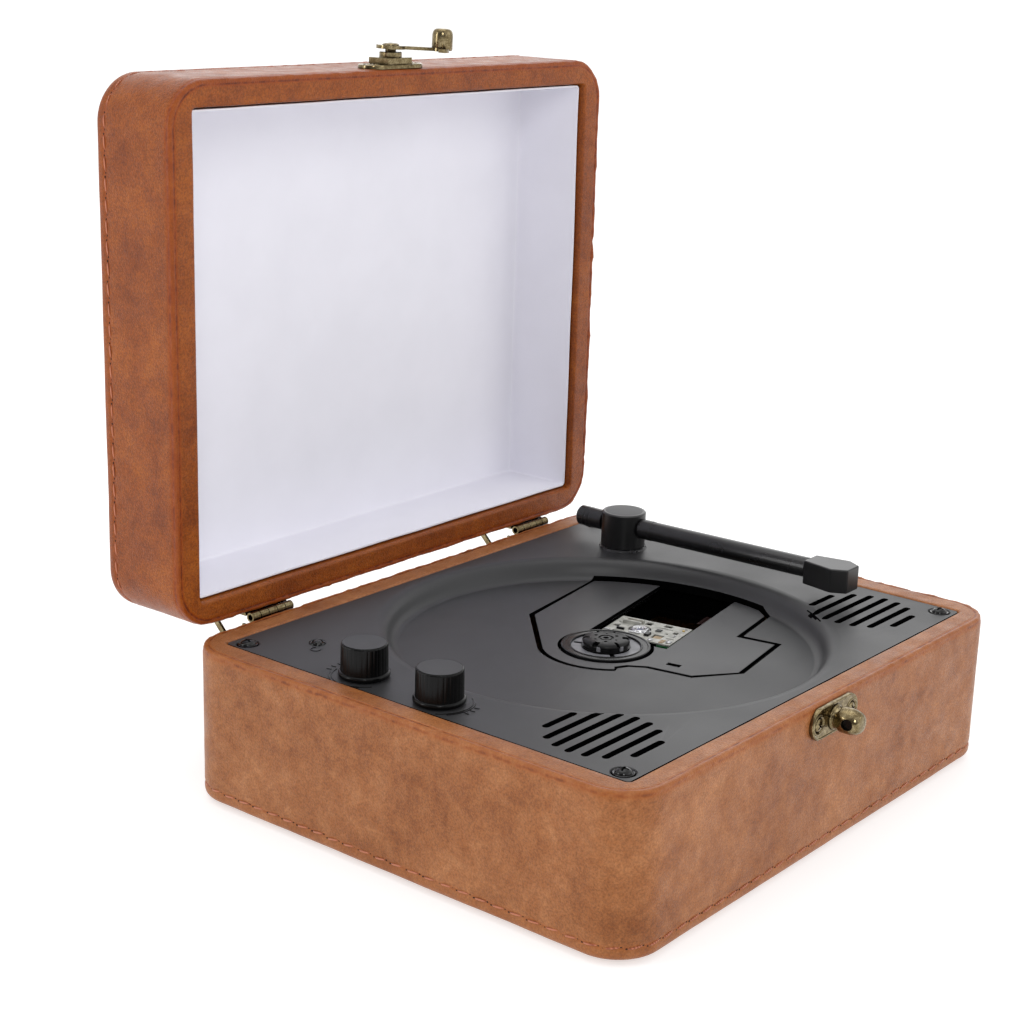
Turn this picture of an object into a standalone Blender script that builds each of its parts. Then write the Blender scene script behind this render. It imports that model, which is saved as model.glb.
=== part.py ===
"""Suitcase-style record player for small discs, standing open.

A leather-covered board case holds a moulded panel with a disc well, a laser pickup mechanism, two
speakers, two knobs and a dummy tonearm. Its lid stands open at 90 degrees on two stay hinges.

Dimensions are in millimetres and the helpers scale them to metres. The origin is on the floor under
the middle of the case: X to the right, -Y to the front (the latch side), Z up.
"""

import math

import bmesh
import bpy
from mathutils import Matrix, Vector

MM = 0.001
GAP = 0.3                 # clearance between pieces that rest on or in each other

# Case
CASE_W = 198.0
CASE_D = 163.5
CASE_H = 47.1
CASE_BOTTOM = 1.2         # underside of the leather, held off the floor by the feet
RIM_Z = CASE_BOTTOM + CASE_H
CORNER_R = 14.0           # plan radius of the case corners
EDGE_R = 2.2              # rounding of the leather edges
LEATHER = 1.0
BOARD_EDGE = 0.7          # chamfer of the board's edges, clear of the leather's rounding
OPENING_W = 180.0         # panel opening between the leather rims
OPENING_D = 147.0
FLANGE = 10.0             # leather turned down inside the rim
CASE_FLOOR_Z = 5.5        # inside floor of the board case
SCREW_BLOCK = (78.0, 63.0)  # inner corner of the blocks that take the panel screws
FOOT_R = 6.0
FOOT_X = 80.0
FOOT_Y = 62.0
POWER_X = 30.0
POWER_Z = 15.0
BOARD_Z = 10.0            # underside of the main board, on stands
BOARD_T = 1.6
BOARD_STANDS = [(-68, -56), (26, -56), (-68, -16), (26, -16)]
CORNERS = [(-1, -1), (1, -1), (-1, 1), (1, 1)]

# Lid, in its closed place; it hangs on the hinge axis
LID_W = 198.0
LID_D = 160.3
LID_H = 31.4
LID_Y = 1.5               # the lid's middle sits a little behind the case's
LID_RIM_Z = RIM_Z + 0.95
LID_OPENING_W = 179.7
LID_OPENING_D = 144.3
LID_BOARD = 1.4
LINER = 0.6
HINGE_Y = 83.0
HINGE_Z = 48.75

# Panel and disc well
PANEL_Z = 48.0
PANEL_T = 2.0
WELL_R = 63.4             # flat floor of the well
WELL_WALL_R = 68.8        # outside of the wall below the panel
WELL_DEPTH = 6.2
FLOOR_T = 1.6
FLOOR_Z = PANEL_Z - WELL_DEPTH
SPEAKER_X = 69.0
SPEAKER_Y = -49.8
SPEAKER_R = 15.4
SLOT_PITCH = 4.85
SLOT_W = 2.2
SLOT_FIELD_R = 16.2
SCREW_X = 85.5
SCREW_Y = 68.5
SCREW_SEAT_R = 3.2        # round recess that takes a panel screw's head
SCREW_SEAT = 1.0
KNOBS = {"volume": (-80.9, 25.7), "mode": (-81.3, -2.9)}
KNOB_R = 6.9
KNOB_H = 10.2             # top of the knobs over the panel
KNOB_LIFT = 0.4           # gap under their skirts
ARM_X = 71.6
ARM_Y = 46.0
TURRET_R = 7.6
TUBE_R = 3.3
TUBE_START_Z = 7.9        # height of the tube's axis over the panel at the turret
TUBE_END_Z = 8.8          # and at the headshell
TUBE_END = -74.0
STUB_END = 18.5

# Disc mechanism, turned a little against the case
DECK_ANGLE = 10.0
DECK_GAP = 1.7
DECK_T = 1.4
DECK_ARC_R = 21.4         # round end of the deck hole, around the turntable
SLED_SLOT = (-16.8, 11.0)  # sides of the opening for the pickup
SLED_BODY = (-14.6, 10.4)  # sides of the pickup
SENSOR_HOLE = (-3.4, -24.5)
TURNTABLE_R = 13.85
LENS_REST = 24.5          # distance of the lens from the spindle at rest
ROD_Y = 17.5
ROD_R = 1.5
ROD_Z = 35.8
TOOTH = 0.8               # gear module
GEAR_TEETH = 14
PINION_TEETH = 8
GEAR_X = 30.0
RACK_Y = -24.0            # pitch line of the rack
GEAR_Y = RACK_Y - TOOTH * GEAR_TEETH / 2
PINION_X = GEAR_X + TOOTH * (GEAR_TEETH + PINION_TEETH) / 2
GEAR_Z = 35.6
GEAR_TOP = 38.6
FRAME_Z = 30.5            # underside of the mechanism frame
FRAME_TOP = 39.2          # top of its rod walls

# Hinges and stays
HINGE_XS = {"left": -62.0, "right": 66.5}
HINGE_W = 17.4
KNUCKLE_R = 1.5
KNUCKLES = 5
LEAF_T = 0.9
STAY_PIVOT = (99.0, 46.6)  # Y and Z of the stay's upper pivot with the lid open
STAY_FOOT = (84.6, 32.2)
STAY_R = 0.9               # half the stay's width

# Latch
LATCH_X = -3.5
LATCH_Z = 54.75            # hub of the hook with the lid closed
CATCH_Z = 42.6
HOOK_REST = 52.0           # degrees that the hook stands aside of straight down
HOOK_REACH = 16.1
HOOK_TO_POST = LATCH_Z - CATCH_Z
HOOK_OFFSET = 27.0         # degrees between the shank and the post when latched
LATCH_PLATE_W = 25.0
LATCH_PLATE_H = 9.6
LATCH_SCREW_X = 8.9
LATCH_PLATE_TOP = GAP + 1.0
LATCH_SEAT = LATCH_PLATE_TOP - 0.55  # floor of the countersinks for the small screws
HOOK_LOW = 5.15            # underside of the hook over the lid's front
HOOK_T = 1.1

for stale in list(bpy.data.objects):
    bpy.data.objects.remove(stale, do_unlink=True)


def collection(name):
    made = bpy.data.collections.new(name)
    bpy.context.scene.collection.children.link(made)
    return made


PARTS = collection("suitcase_record_player")
CUTTERS = collection("cutters")


def material(name, colour, roughness, metallic=0.0):
    made = bpy.data.materials.new(name)
    made.use_nodes = True
    shader = made.node_tree.nodes["Principled BSDF"]
    shader.inputs["Base Color"].default_value = (*colour, 1.0)
    shader.inputs["Roughness"].default_value = roughness
    shader.inputs["Metallic"].default_value = metallic
    return made


LEATHER_TAN = material("leather_tan", (0.36, 0.13, 0.035), 0.45)
WOOD_BOARD = material("wood_board", (0.45, 0.32, 0.20), 0.8)
PAPER = material("liner_paper", (0.82, 0.81, 0.88), 0.85)
SATIN_BLACK = material("satin_black_plastic", (0.03, 0.03, 0.034), 0.45)
GLOSS_BLACK = material("gloss_black_plastic", (0.012, 0.012, 0.013), 0.3)
BRASS = material("antique_brass", (0.30, 0.23, 0.12), 0.35, 1.0)
STEEL = material("steel", (0.55, 0.55, 0.56), 0.3, 1.0)
BLACK_STEEL = material("black_screw", (0.02, 0.02, 0.02), 0.35, 0.8)
RUBBER = material("rubber", (0.02, 0.02, 0.02), 0.8)
PICKUP_GREY = material("pickup_grey", (0.5, 0.5, 0.47), 0.5)
GREEN_BOARD = material("circuit_board", (0.03, 0.16, 0.07), 0.5)
BATTERY_BLUE = material("battery_wrap", (0.03, 0.08, 0.3), 0.4)
CONE_PAPER = material("speaker_cone", (0.02, 0.02, 0.02), 0.9)


def place(obj, mat, parent):
    """Gives the object its material and hangs it on an empty, whose frame its points are in."""
    obj.data.materials.clear()
    obj.data.materials.append(mat)
    PARTS.objects.link(obj)
    obj.parent = parent
    return obj


def smooth(obj, angle=40.0):
    obj.data.shade_smooth()
    obj.data.set_sharp_from_angle(angle=math.radians(angle))
    return obj


def empty(name, matrix, parent=None):
    """A frame for pieces: its matrix is in the parent's frame, with its shift in millimetres."""
    made = bpy.data.objects.new(name, None)
    made.empty_display_size = 10 * MM
    PARTS.objects.link(made)
    made.parent = parent
    made.matrix_local = Matrix.Translation(matrix.translation * MM) @ matrix.to_3x3().to_4x4()
    return made


def turn(angle, axis):
    return Matrix.Rotation(math.radians(angle), 4, axis)


def shift(x, y, z):
    return Matrix.Translation((x, y, z))


def mesh_object(name, bm):
    mesh = bpy.data.meshes.new(name)
    bm.to_mesh(mesh)
    bm.free()
    return bpy.data.objects.new(name, mesh)


def box(name, x, y, z):
    """A box between the low and high values of x, y and z."""
    bm = bmesh.new()
    size = Vector((x[1] - x[0], y[1] - y[0], z[1] - z[0])) * MM
    middle = Vector((x[0] + x[1], y[0] + y[1], z[0] + z[1])) * 0.5 * MM
    bmesh.ops.create_cube(bm, size=1.0, matrix=Matrix.Translation(middle) @ Matrix.Diagonal((*size, 1.0)))
    return mesh_object(name, bm)


def rod(name, radius, start, end, segments=20, end_radius=None):
    """A cylinder, or a cone frustum, from one point to another."""
    start, end = Vector(start) * MM, Vector(end) * MM
    along = end - start
    matrix = Matrix.Translation((start + end) / 2) @ along.to_track_quat("Z", "Y").to_matrix().to_4x4()
    far = radius if end_radius is None else end_radius
    bm = bmesh.new()
    bmesh.ops.create_cone(bm, cap_ends=True, segments=segments, radius1=radius * MM, radius2=far * MM,
                          depth=along.length, matrix=matrix)
    return mesh_object(name, bm)


def turned(name, profile, at=(0.0, 0.0, 0.0), segments=24, closed=False):
    """A shape turned about the local Z axis from (radius, height) points, top to bottom outside."""
    bm = bmesh.new()
    points = [bm.verts.new((r * MM, 0.0, z * MM)) for r, z in profile]
    for first, second in zip(points, points[1:] + points[:1] if closed else points[1:]):
        bm.edges.new((first, second))
    made = mesh_object(name, bm)
    screw = made.modifiers.new("turn", "SCREW")
    screw.steps = screw.render_steps = segments
    screw.use_merge_vertices = True
    screw.merge_threshold = 0.00001
    made.location = Vector(at) * MM
    return made


def plate(name, outline, z0, z1):
    """A flat outline, given as (x, y) points, with thickness from z0 to z1."""
    curve = bpy.data.curves.new(name, "CURVE")
    curve.dimensions = "2D"
    curve.fill_mode = "BOTH"
    curve.extrude = (z1 - z0) / 2 * MM
    spline = curve.splines.new("POLY")
    spline.points.add(len(outline) - 1)
    for point, (x, y) in zip(spline.points, outline):
        point.co = (x * MM, y * MM, 0.0, 1.0)
    spline.use_cyclic_u = True
    drawn = bpy.data.objects.new(name + "_outline", curve)
    CUTTERS.objects.link(drawn)
    bpy.context.view_layer.update()
    mesh = bpy.data.meshes.new_from_object(drawn.evaluated_get(bpy.context.evaluated_depsgraph_get()))
    bpy.data.objects.remove(drawn, do_unlink=True)
    bm = bmesh.new()
    bm.from_mesh(mesh)
    bpy.data.meshes.remove(mesh)
    bmesh.ops.remove_doubles(bm, verts=bm.verts, dist=0.01 * MM)
    bmesh.ops.dissolve_limit(bm, angle_limit=math.radians(1), verts=bm.verts, edges=bm.edges)
    bmesh.ops.recalc_face_normals(bm, faces=bm.faces)
    bmesh.ops.translate(bm, verts=bm.verts, vec=(0.0, 0.0, (z0 + z1) / 2 * MM))
    return mesh_object(name, bm)


def helper(obj, parent):
    """Puts away a solid that cuts or joins another, in the same frame."""
    CUTTERS.objects.link(obj)
    obj.parent = parent
    obj.hide_render = True
    obj.display_type = "WIRE"
    return obj


def combine(obj, operation, *others):
    for other in others:
        helper(other, obj.parent)
        modifier = obj.modifiers.new(operation.lower(), "BOOLEAN")
        modifier.operation = operation
        modifier.object = other
    return obj


def cut(obj, *others):
    return combine(obj, "DIFFERENCE", *others)


def join(obj, *others):
    return combine(obj, "UNION", *others)


def bevel(obj, width, segments=2):
    modifier = obj.modifiers.new("edges", "BEVEL")
    modifier.width = width * MM
    modifier.segments = segments
    modifier.limit_method = "ANGLE"
    modifier.angle_limit = math.radians(50)
    return obj


def arc(centre, radius, start, end, steps):
    """Points on an arc from one angle to another, in degrees."""
    angles = [math.radians(start + (end - start) * i / steps) for i in range(steps + 1)]
    return [(centre[0] + radius * math.cos(a), centre[1] + radius * math.sin(a)) for a in angles]


def circle(centre, radius, steps=24):
    return arc(centre, radius, 0, 360 - 360 / steps, steps - 1)


def round_rect(width, depth, radius, centre=(0.0, 0.0), steps=6):
    points = []
    for sx, sy, start in ((1, 1, 0), (-1, 1, 90), (-1, -1, 180), (1, -1, 270)):
        middle = (centre[0] + sx * (width / 2 - radius), centre[1] + sy * (depth / 2 - radius))
        points += arc(middle, radius, start, start + 90, steps)
    return points


def shell_body(name, width, depth, radius, z0, z1, edge, centre=(0.0, 0.0), segments=3):
    """A box with round plan corners and rounded top and bottom edges."""
    return bevel(plate(name, round_rect(width, depth, radius, centre), z0, z1), edge, segments)


# ---------------------------------------------------------------- frames of the moving bodies
CASE = empty("case_frame", Matrix.Identity(4))
LID_AXIS = empty("lid_axis", shift(0, HINGE_Y, HINGE_Z) @ turn(-90, "X"))
LID_SHUT = empty("lid_frame", shift(0, -HINGE_Y, -HINGE_Z), LID_AXIS)
DECK = empty("deck_frame", turn(DECK_ANGLE, "Z"))
FRONT = CASE_D / 2
LID_FRONT = LID_D / 2 - LID_Y
CATCH = empty("catch_frame", shift(LATCH_X, -FRONT, CATCH_Z) @ turn(90, "X"))
LATCH = empty("latch_frame", shift(LATCH_X, -LID_FRONT, LATCH_Z) @ turn(90, "X"), LID_SHUT)
HOOK = empty("hook_axis", turn(HOOK_REST, "Z"), LATCH)
ARM = empty("arm_axis", shift(ARM_X, ARM_Y, PANEL_Z))


def leather_case():
    """Leather over the outside of the case, turned over the rim and down inside the opening."""
    skin = shell_body("case_leather", CASE_W, CASE_D, CORNER_R, CASE_BOTTOM, RIM_Z, EDGE_R)
    place(skin, LEATHER_TAN, CASE)
    room = shell_body("case_room", CASE_W - 2 * LEATHER, CASE_D - 2 * LEATHER, CORNER_R - LEATHER,
                      CASE_BOTTOM + LEATHER, RIM_Z - LEATHER, EDGE_R - LEATHER)
    flange = box("case_flange", (-OPENING_W / 2 - LEATHER, OPENING_W / 2 + LEATHER),
                 (-OPENING_D / 2 - LEATHER, OPENING_D / 2 + LEATHER), (RIM_Z - FLANGE, RIM_Z + 5))
    cut(room, flange)
    mouth = box("case_mouth", (-OPENING_W / 2, OPENING_W / 2), (-OPENING_D / 2, OPENING_D / 2),
                (RIM_Z - FLANGE - 5, RIM_Z + 10))
    cut(skin, room, mouth, power_hole("leather_power_hole", 5.2))


def power_hole(name, radius):
    return rod(name, radius, (POWER_X, FRONT - 20, POWER_Z), (POWER_X, FRONT + 5, POWER_Z))


def board_case():
    inset = LEATHER + GAP
    case = shell_body("case_board", CASE_W - 2 * inset, CASE_D - 2 * inset, CORNER_R - inset,
                      CASE_BOTTOM + inset, RIM_Z - inset, BOARD_EDGE, segments=1)
    place(case, WOOD_BOARD, CASE)
    room_w = OPENING_W + 2 * LEATHER + 2 * GAP
    room_d = OPENING_D + 2 * LEATHER + 2 * GAP
    floor_z = CASE_FLOOR_Z
    room = box("board_room", (-room_w / 2, room_w / 2), (-room_d / 2, room_d / 2), (floor_z, RIM_Z + 5))
    cut(case, room, power_hole("board_power_hole", 4.9))
    block_top = PANEL_Z - PANEL_T - GAP
    block_x, block_y = SCREW_BLOCK
    for number, (sx, sy) in enumerate(CORNERS):
        low = box(f"block_low_{number}", sorted((sx * block_x, sx * (room_w / 2 + 1))),
                  sorted((sy * block_y, sy * (room_d / 2 + 1))), (floor_z - 1, RIM_Z - FLANGE - GAP))
        high = box(f"block_high_{number}", sorted((sx * block_x, sx * (OPENING_W / 2 - GAP))),
                   sorted((sy * block_y, sy * (OPENING_D / 2 - GAP))), (floor_z + 5, block_top))
        pilot = rod(f"pilot_{number}", 1.75, (sx * SCREW_X, sy * SCREW_Y, block_top - 16),
                    (sx * SCREW_X, sy * SCREW_Y, block_top + 5), 12)
        join(case, low, high)
        cut(case, pilot)
    for number, (x, y) in enumerate(BOARD_STANDS):
        join(case, rod(f"board_stand_{number}", 2.5, (x, y, floor_z - 1), (x, y, BOARD_Z - GAP), 10))


def feet():
    for number, (sx, sy) in enumerate(CORNERS, 1):
        x, y = sx * FOOT_X, sy * FOOT_Y
        foot = rod(f"rubber_foot_{number}", FOOT_R, (x, y, 0), (x, y, CASE_BOTTOM - GAP))
        smooth(place(foot, RUBBER, CASE))


def power_socket():
    """A round inlet in the back wall, with a bore for the plug and a pin in it."""
    back = FRONT - 0.6
    socket = rod("power_socket", 4.6, (POWER_X, back - 13.4, POWER_Z), (POWER_X, back, POWER_Z))
    place(socket, GLOSS_BLACK, CASE)
    bore = rod("power_bore", 2.9, (POWER_X, back - 8.4, POWER_Z), (POWER_X, back + 3, POWER_Z), 16)
    pin = rod("power_pin", 0.8, (POWER_X, back - 9.4, POWER_Z), (POWER_X, back - 1.4, POWER_Z), 8)
    smooth(join(cut(socket, bore), pin))


# ---------------------------------------------------------------- panel
WELL_PROFILE = [(0, 6), (71.6, 6), (71.6, 0), (70.0, -0.2), (68.6, -0.8), (67.4, -2.0), (66.6, -3.4),
                (65.9, -4.6), (64.9, -5.6), (WELL_R, -WELL_DEPTH), (0, -WELL_DEPTH)]


def deck_outline(grow):
    """The hole for the deck, in the deck's frame; a negative grow gives the deck plate in it."""
    return [(1.4, -45.2 - grow), (32.0 + grow, -45.2 - grow), (32.0 + grow, -32.3 - grow),
            (54.5 + grow / 2, -32.3 - grow),
            *arc((0, 0), 65.6 + grow, -25, 30, 10),
            (13.0 - grow * 0.4, 34.0 + grow), *arc((0, 0), DECK_ARC_R + grow, 128, 214, 10),
            (-15.4 - grow * 0.5, -11.6 - grow * 0.85), (-12.4 - grow * 0.6, -13.9 - grow * 0.8),
            (-10.4 - grow, -18.6), (-10.4 - grow, -33.4 - grow * 0.4)]


def speaker_slots(name, centre_x):
    """Seven rounded slots whose ends lie on a circle, for cutting through the panel."""
    slots = []
    for row in range(-3, 4):
        y = SPEAKER_Y + row * SLOT_PITCH
        half = math.sqrt(SLOT_FIELD_R ** 2 - (row * SLOT_PITCH) ** 2) - SLOT_W / 2
        r = SLOT_W / 2
        outline = arc((centre_x + half, y), r, -90, 90, 4) + arc((centre_x - half, y), r, 90, 270, 4)
        slots.append(plate(f"{name}_{row + 3}", outline, PANEL_Z - 6, PANEL_Z + 3))
    return slots


def top_panel():
    panel = plate("top_panel", round_rect(OPENING_W - 2 * GAP, OPENING_D - 2 * GAP, 1.5, steps=2),
                  PANEL_Z - PANEL_T, PANEL_Z)
    place(panel, SATIN_BLACK, CASE)
    join(panel, rod("well_wall", WELL_WALL_R, (0, 0, FLOOR_Z - FLOOR_T), (0, 0, PANEL_Z - 1), 72),
         rod("arm_boss", 8.1, (ARM_X, ARM_Y, PANEL_Z - 1), (ARM_X, ARM_Y, PANEL_Z + 0.6), 28))
    cut(panel, turned("well_cutter", WELL_PROFILE, (0, 0, PANEL_Z), 72))
    hole = plate("deck_hole", deck_outline(0), PANEL_Z - 20, PANEL_Z + 5)
    helper(hole, DECK)
    modifier = panel.modifiers.new("deck hole", "BOOLEAN")
    modifier.object = hole
    cut(panel, *speaker_slots("slot_left", -SPEAKER_X), *speaker_slots("slot_right", SPEAKER_X))
    for name, (x, y) in KNOBS.items():
        cut(panel, rod(name + "_shaft_hole", 3.3, (x, y, PANEL_Z - 6), (x, y, PANEL_Z + 3), 16))
    cut(panel, rod("arm_hole", 3.4, (ARM_X, ARM_Y, PANEL_Z - 6), (ARM_X, ARM_Y, PANEL_Z + 3), 16))
    for number, (sx, sy) in enumerate(CORNERS):
        x, y = sx * SCREW_X, sy * SCREW_Y
        cut(panel, rod(f"screw_hole_{number}", 1.8, (x, y, PANEL_Z - 6), (x, y, PANEL_Z + 3), 12),
            rod(f"screw_seat_{number}", SCREW_SEAT_R, (x, y, PANEL_Z - SCREW_SEAT), (x, y, PANEL_Z + 3)))


def cross_screw(name, at, head_r, head_h, shank_r, length, mat, parent):
    """A round-headed cross-recess screw, its head's underside at the given point."""
    profile = [(0, head_h), (head_r * 0.45, head_h * 0.96), (head_r * 0.8, head_h * 0.72),
               (head_r, head_h * 0.2), (head_r, 0), (shank_r, 0), (shank_r, -length + shank_r), (0, -length)]
    screw = place(turned(name, profile, at, 16), mat, parent)
    x, y, z = at
    reach, wide, deep = head_r * 0.55, head_r * 0.12, head_h * 0.45
    top = z + head_h
    bar_x = box(name + "_recess_x", (x - reach, x + reach), (y - wide, y + wide), (top - deep, top + 1))
    bar_y = box(name + "_recess_y", (x - wide, x + wide), (y - reach, y + reach), (top - deep, top + 1))
    return smooth(cut(screw, bar_x, bar_y))


def panel_screws():
    seat = PANEL_Z - SCREW_SEAT + GAP
    for number, (sx, sy) in enumerate(CORNERS, 1):
        cross_screw(f"panel_screw_{number}", (sx * SCREW_X, sy * SCREW_Y, seat), 2.8, 1.3, 1.35, 13,
                    BLACK_STEEL, CASE)


def speakers():
    for side, x in (("left", -SPEAKER_X), ("right", SPEAKER_X)):
        cone = [(4.0, -4.6), (12.0, -1.6), (13.4, -0.8), (13.9, -1.4), (14.2, -0.5), (SPEAKER_R, -0.5),
                (SPEAKER_R, -2.5), (13.0, -3.2), (9.0, -7.0), (8.6, -11.5), (0, -11.5)]
        speaker = turned(f"speaker_{side}", [(0, -4.0), *cone], (x, SPEAKER_Y, PANEL_Z - PANEL_T), 28)
        smooth(place(speaker, CONE_PAPER, CASE))


def knob(name, x, y):
    """A fluted cap with a skirt, on the shaft of a potentiometer."""
    axis = empty(f"{name}_axis", shift(x, y, PANEL_Z))
    flutes = 28
    outline = []
    for i in range(flutes * 2):
        radius = KNOB_R if i % 2 else KNOB_R - 0.22
        angle = math.pi * i / flutes
        outline.append((radius * math.cos(angle), radius * math.sin(angle)))
    cap = place(plate(f"{name}_knob", outline, KNOB_LIFT + 0.6, KNOB_H), GLOSS_BLACK, axis)
    join(cap, rod(f"{name}_skirt", KNOB_R + 0.6, (0, 0, KNOB_LIFT), (0, 0, KNOB_LIFT + 1.3), 32))
    smooth(cut(cap, rod(f"{name}_bore", 2.8, (0, 0, -1), (0, 0, KNOB_H - 3), 16)), 25)
    smooth(place(rod(f"{name}_shaft", 2.4, (0, 0, -9), (0, 0, KNOB_H - 3.4), 16), STEEL, axis))
    body = box(f"{name}_potentiometer", (x - 6.5, x + 6.5), (y - 6, y + 6),
               (PANEL_Z - 10, PANEL_Z - PANEL_T - GAP))
    place(body, PICKUP_GREY, CASE)
    cut(body, rod(f"{name}_pot_hole", 2.8, (x, y, PANEL_Z - 12), (x, y, PANEL_Z), 16))


# ---------------------------------------------------------------- disc mechanism, in the deck's frame
def deck_plate():
    """The flat cover of the mechanism, open along the pickup's whole travel."""
    deck = plate("deck_plate", deck_outline(-DECK_GAP), FLOOR_Z - DECK_T, FLOOR_Z)
    place(deck, SATIN_BLACK, DECK)
    slot = box("sled_slot", (8, 75), SLED_SLOT, (FLOOR_Z - 5, FLOOR_Z + 5))
    slot_start = box("slot_start", (0, 12), (-11.5, SLED_SLOT[1] - 0.03), (FLOOR_Z - 5.1, FLOOR_Z + 5.1))
    round_hole = rod("turntable_hole", TURNTABLE_R + 1.0, (0, 0, FLOOR_Z - 5), (0, 0, FLOOR_Z + 5), 40)
    x, y = SENSOR_HOLE
    sensor = box("sensor_hole", (x - 1.0, x + 1.0), (y - 2.2, y + 2.2), (FLOOR_Z - 5, FLOOR_Z + 5))
    cut(deck, slot, slot_start, round_hole, sensor)


def mechanism_frame():
    frame = place(box("mechanism_frame", (-21, 71), (-36, 22), (FRAME_Z, FRAME_Z + 2)), SATIN_BLACK, DECK)
    for name, low in (("inner", -21), ("outer", 68)):
        join(frame, box(f"rod_wall_{name}", (low, low + 3), (-21, 21), (FRAME_Z + 1, FRAME_TOP)))
    for side in (-1, 1):
        start, end = (-30, side * ROD_Y, ROD_Z), (80, side * ROD_Y, ROD_Z)
        cut(frame, rod(f"rod_hole_{side}", ROD_R + GAP, start, end, 12))
    cut(frame, rod("motor_shaft_hole", 1.6, (PINION_X, GEAR_Y, 20), (PINION_X, GEAR_Y, 40), 12),
        rod("gear_axle_hole", 1.5, (GEAR_X, GEAR_Y, 20), (GEAR_X, GEAR_Y, 40), 12),
        box("frame_window", (16, 64), (-12, 12), (20, 60)))
    # Ears reach past the deck hole to hang the frame under the well; short posts carry the deck plate.
    for name, (x0, x1), (y0, y1), (x, y) in (("inner", (-32, -19), (-5, 5), (-27, 0)),
                                             ("back", (40, 50), (20, 45), (45, 40)),
                                             ("front", (12, 22), (-53, -34), (17, -49))):
        join(frame, box(f"ear_{name}", (x0, x1), (y0, y1), (FRAME_Z + 0.2, FRAME_Z + 1.8)),
             rod(f"ear_post_{name}", 2.5, (x, y, FRAME_Z + 1), (x, y, FLOOR_Z - FLOOR_T - GAP), 12))
    for number, (x, y) in enumerate(((8, -32), (56, -27), (12, 24), (56, 24))):
        base = box(f"post_foot_{number}", (x - 3, x + 3), (y - 3, y + 3), (FRAME_Z + 0.2, FRAME_Z + 1.8))
        join(frame, base,
             rod(f"deck_post_{number}", 1.6, (x, y, FRAME_Z + 1), (x, y, FLOOR_Z - DECK_T - GAP), 10))


def guide_rods():
    for number, side in enumerate((1, -1), 1):
        y = side * ROD_Y
        guide = rod(f"guide_rod_{number}", ROD_R, (-20.6, y, ROD_Z), (70.6, y, ROD_Z), 12)
        smooth(place(guide, STEEL, DECK))


def spindle():
    motor = rod("spindle_motor", 11.0, (0, 0, FRAME_Z + 2 + GAP), (0, 0, 37.8), 28)
    smooth(cut(place(motor, STEEL, DECK), rod("motor_bore", 1.5, (0, 0, 20), (0, 0, 50), 12)))
    top = FLOOR_Z + 0.6
    table = [(0, top - 0.7), (11.2, top - 0.7), (11.6, top), (TURNTABLE_R, top), (TURNTABLE_R, top - 1.4),
             (9.0, top - 1.8), (9.0, 38.4), (1.2, 38.4), (1.2, 33.5), (0, 33.5)]
    smooth(place(turned("turntable", table, segments=40), GLOSS_BLACK, DECK))
    low = top - 0.7 + GAP
    hub_profile = [(0, low + 2.6), (6.0, low + 2.6), (7.2, low + 2.0), (7.5, low + 1.2), (7.5, low), (0, low)]
    hub = place(turned("disc_hub", hub_profile, segments=30), GLOSS_BLACK, DECK)
    for claw in range(3):
        angle = 120 * claw + 20
        notch = box(f"hub_notch_{claw}", (5.2, 9), (-1.3, 1.3), (low + 0.7, low + 5))
        notch.rotation_euler = (0, 0, math.radians(angle))
        cut(hub, notch)
    smooth(hub)


def pickup():
    x = LENS_REST
    body_top = FLOOR_Z - DECK_T - 0.9
    body = place(box("pickup_sled", (x - 9, x + 8), SLED_BODY, (33.4, body_top)), PICKUP_GREY, DECK)
    join(body, box("bush_block", (x - 8.6, x + 7.6), (9, 20.5), (33.7, 38.2)),
         box("fork_block", (x - 4, x + 4), (-20.5, -12), (33.7, 38.1)),
         box("rack_arm", (x - 3, x + 3), (RACK_Y + 1.2, -19), (36.9, 38.4)),
         *gear_rack(-7, 34))
    for side in (-1, 1):
        start, end = (-30, side * ROD_Y, ROD_Z), (80, side * ROD_Y, ROD_Z)
        cut(body, rod(f"sled_bore_{side}", ROD_R + GAP, start, end, 12))
    cut(body, rod("lens_seat", 3.9, (x, 0, body_top - 1.5), (x, 0, body_top + 2), 24))
    lens_top = body_top + 0.35
    lens = [(0, lens_top), (1.6, lens_top - 0.15), (2.0, lens_top - 0.5), (3.4, lens_top - 0.6),
            (3.5, lens_top - 1.5), (0, lens_top - 1.5)]
    smooth(place(turned("pickup_lens", lens, (x, 0, 0), 20), STEEL, DECK))


def gear_rack(start, end):
    """A toothed bar along X, its teeth towards -Y, with thinner teeth than the pitch allows."""
    pitch = math.pi * TOOTH
    root = RACK_Y + 0.9 * TOOTH
    tip = RACK_Y - 0.7 * TOOTH
    pieces = [box("rack_bar", (start, end), (root, root + 1.4), (GEAR_Z, GEAR_TOP))]
    first = math.ceil((start - GEAR_X) / pitch) + 1
    last = math.floor((end - GEAR_X) / pitch) - 1
    for tooth in range(first, last + 1):
        x = GEAR_X + tooth * pitch
        outline = [(x - 0.3 * pitch, root + 0.3), (x - 0.1 * pitch, tip), (x + 0.1 * pitch, tip),
                   (x + 0.3 * pitch, root + 0.3)]
        pieces.append(plate(f"rack_tooth_{tooth - first}", outline, GEAR_Z + 0.1, GEAR_TOP - 0.1))
    return pieces


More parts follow.
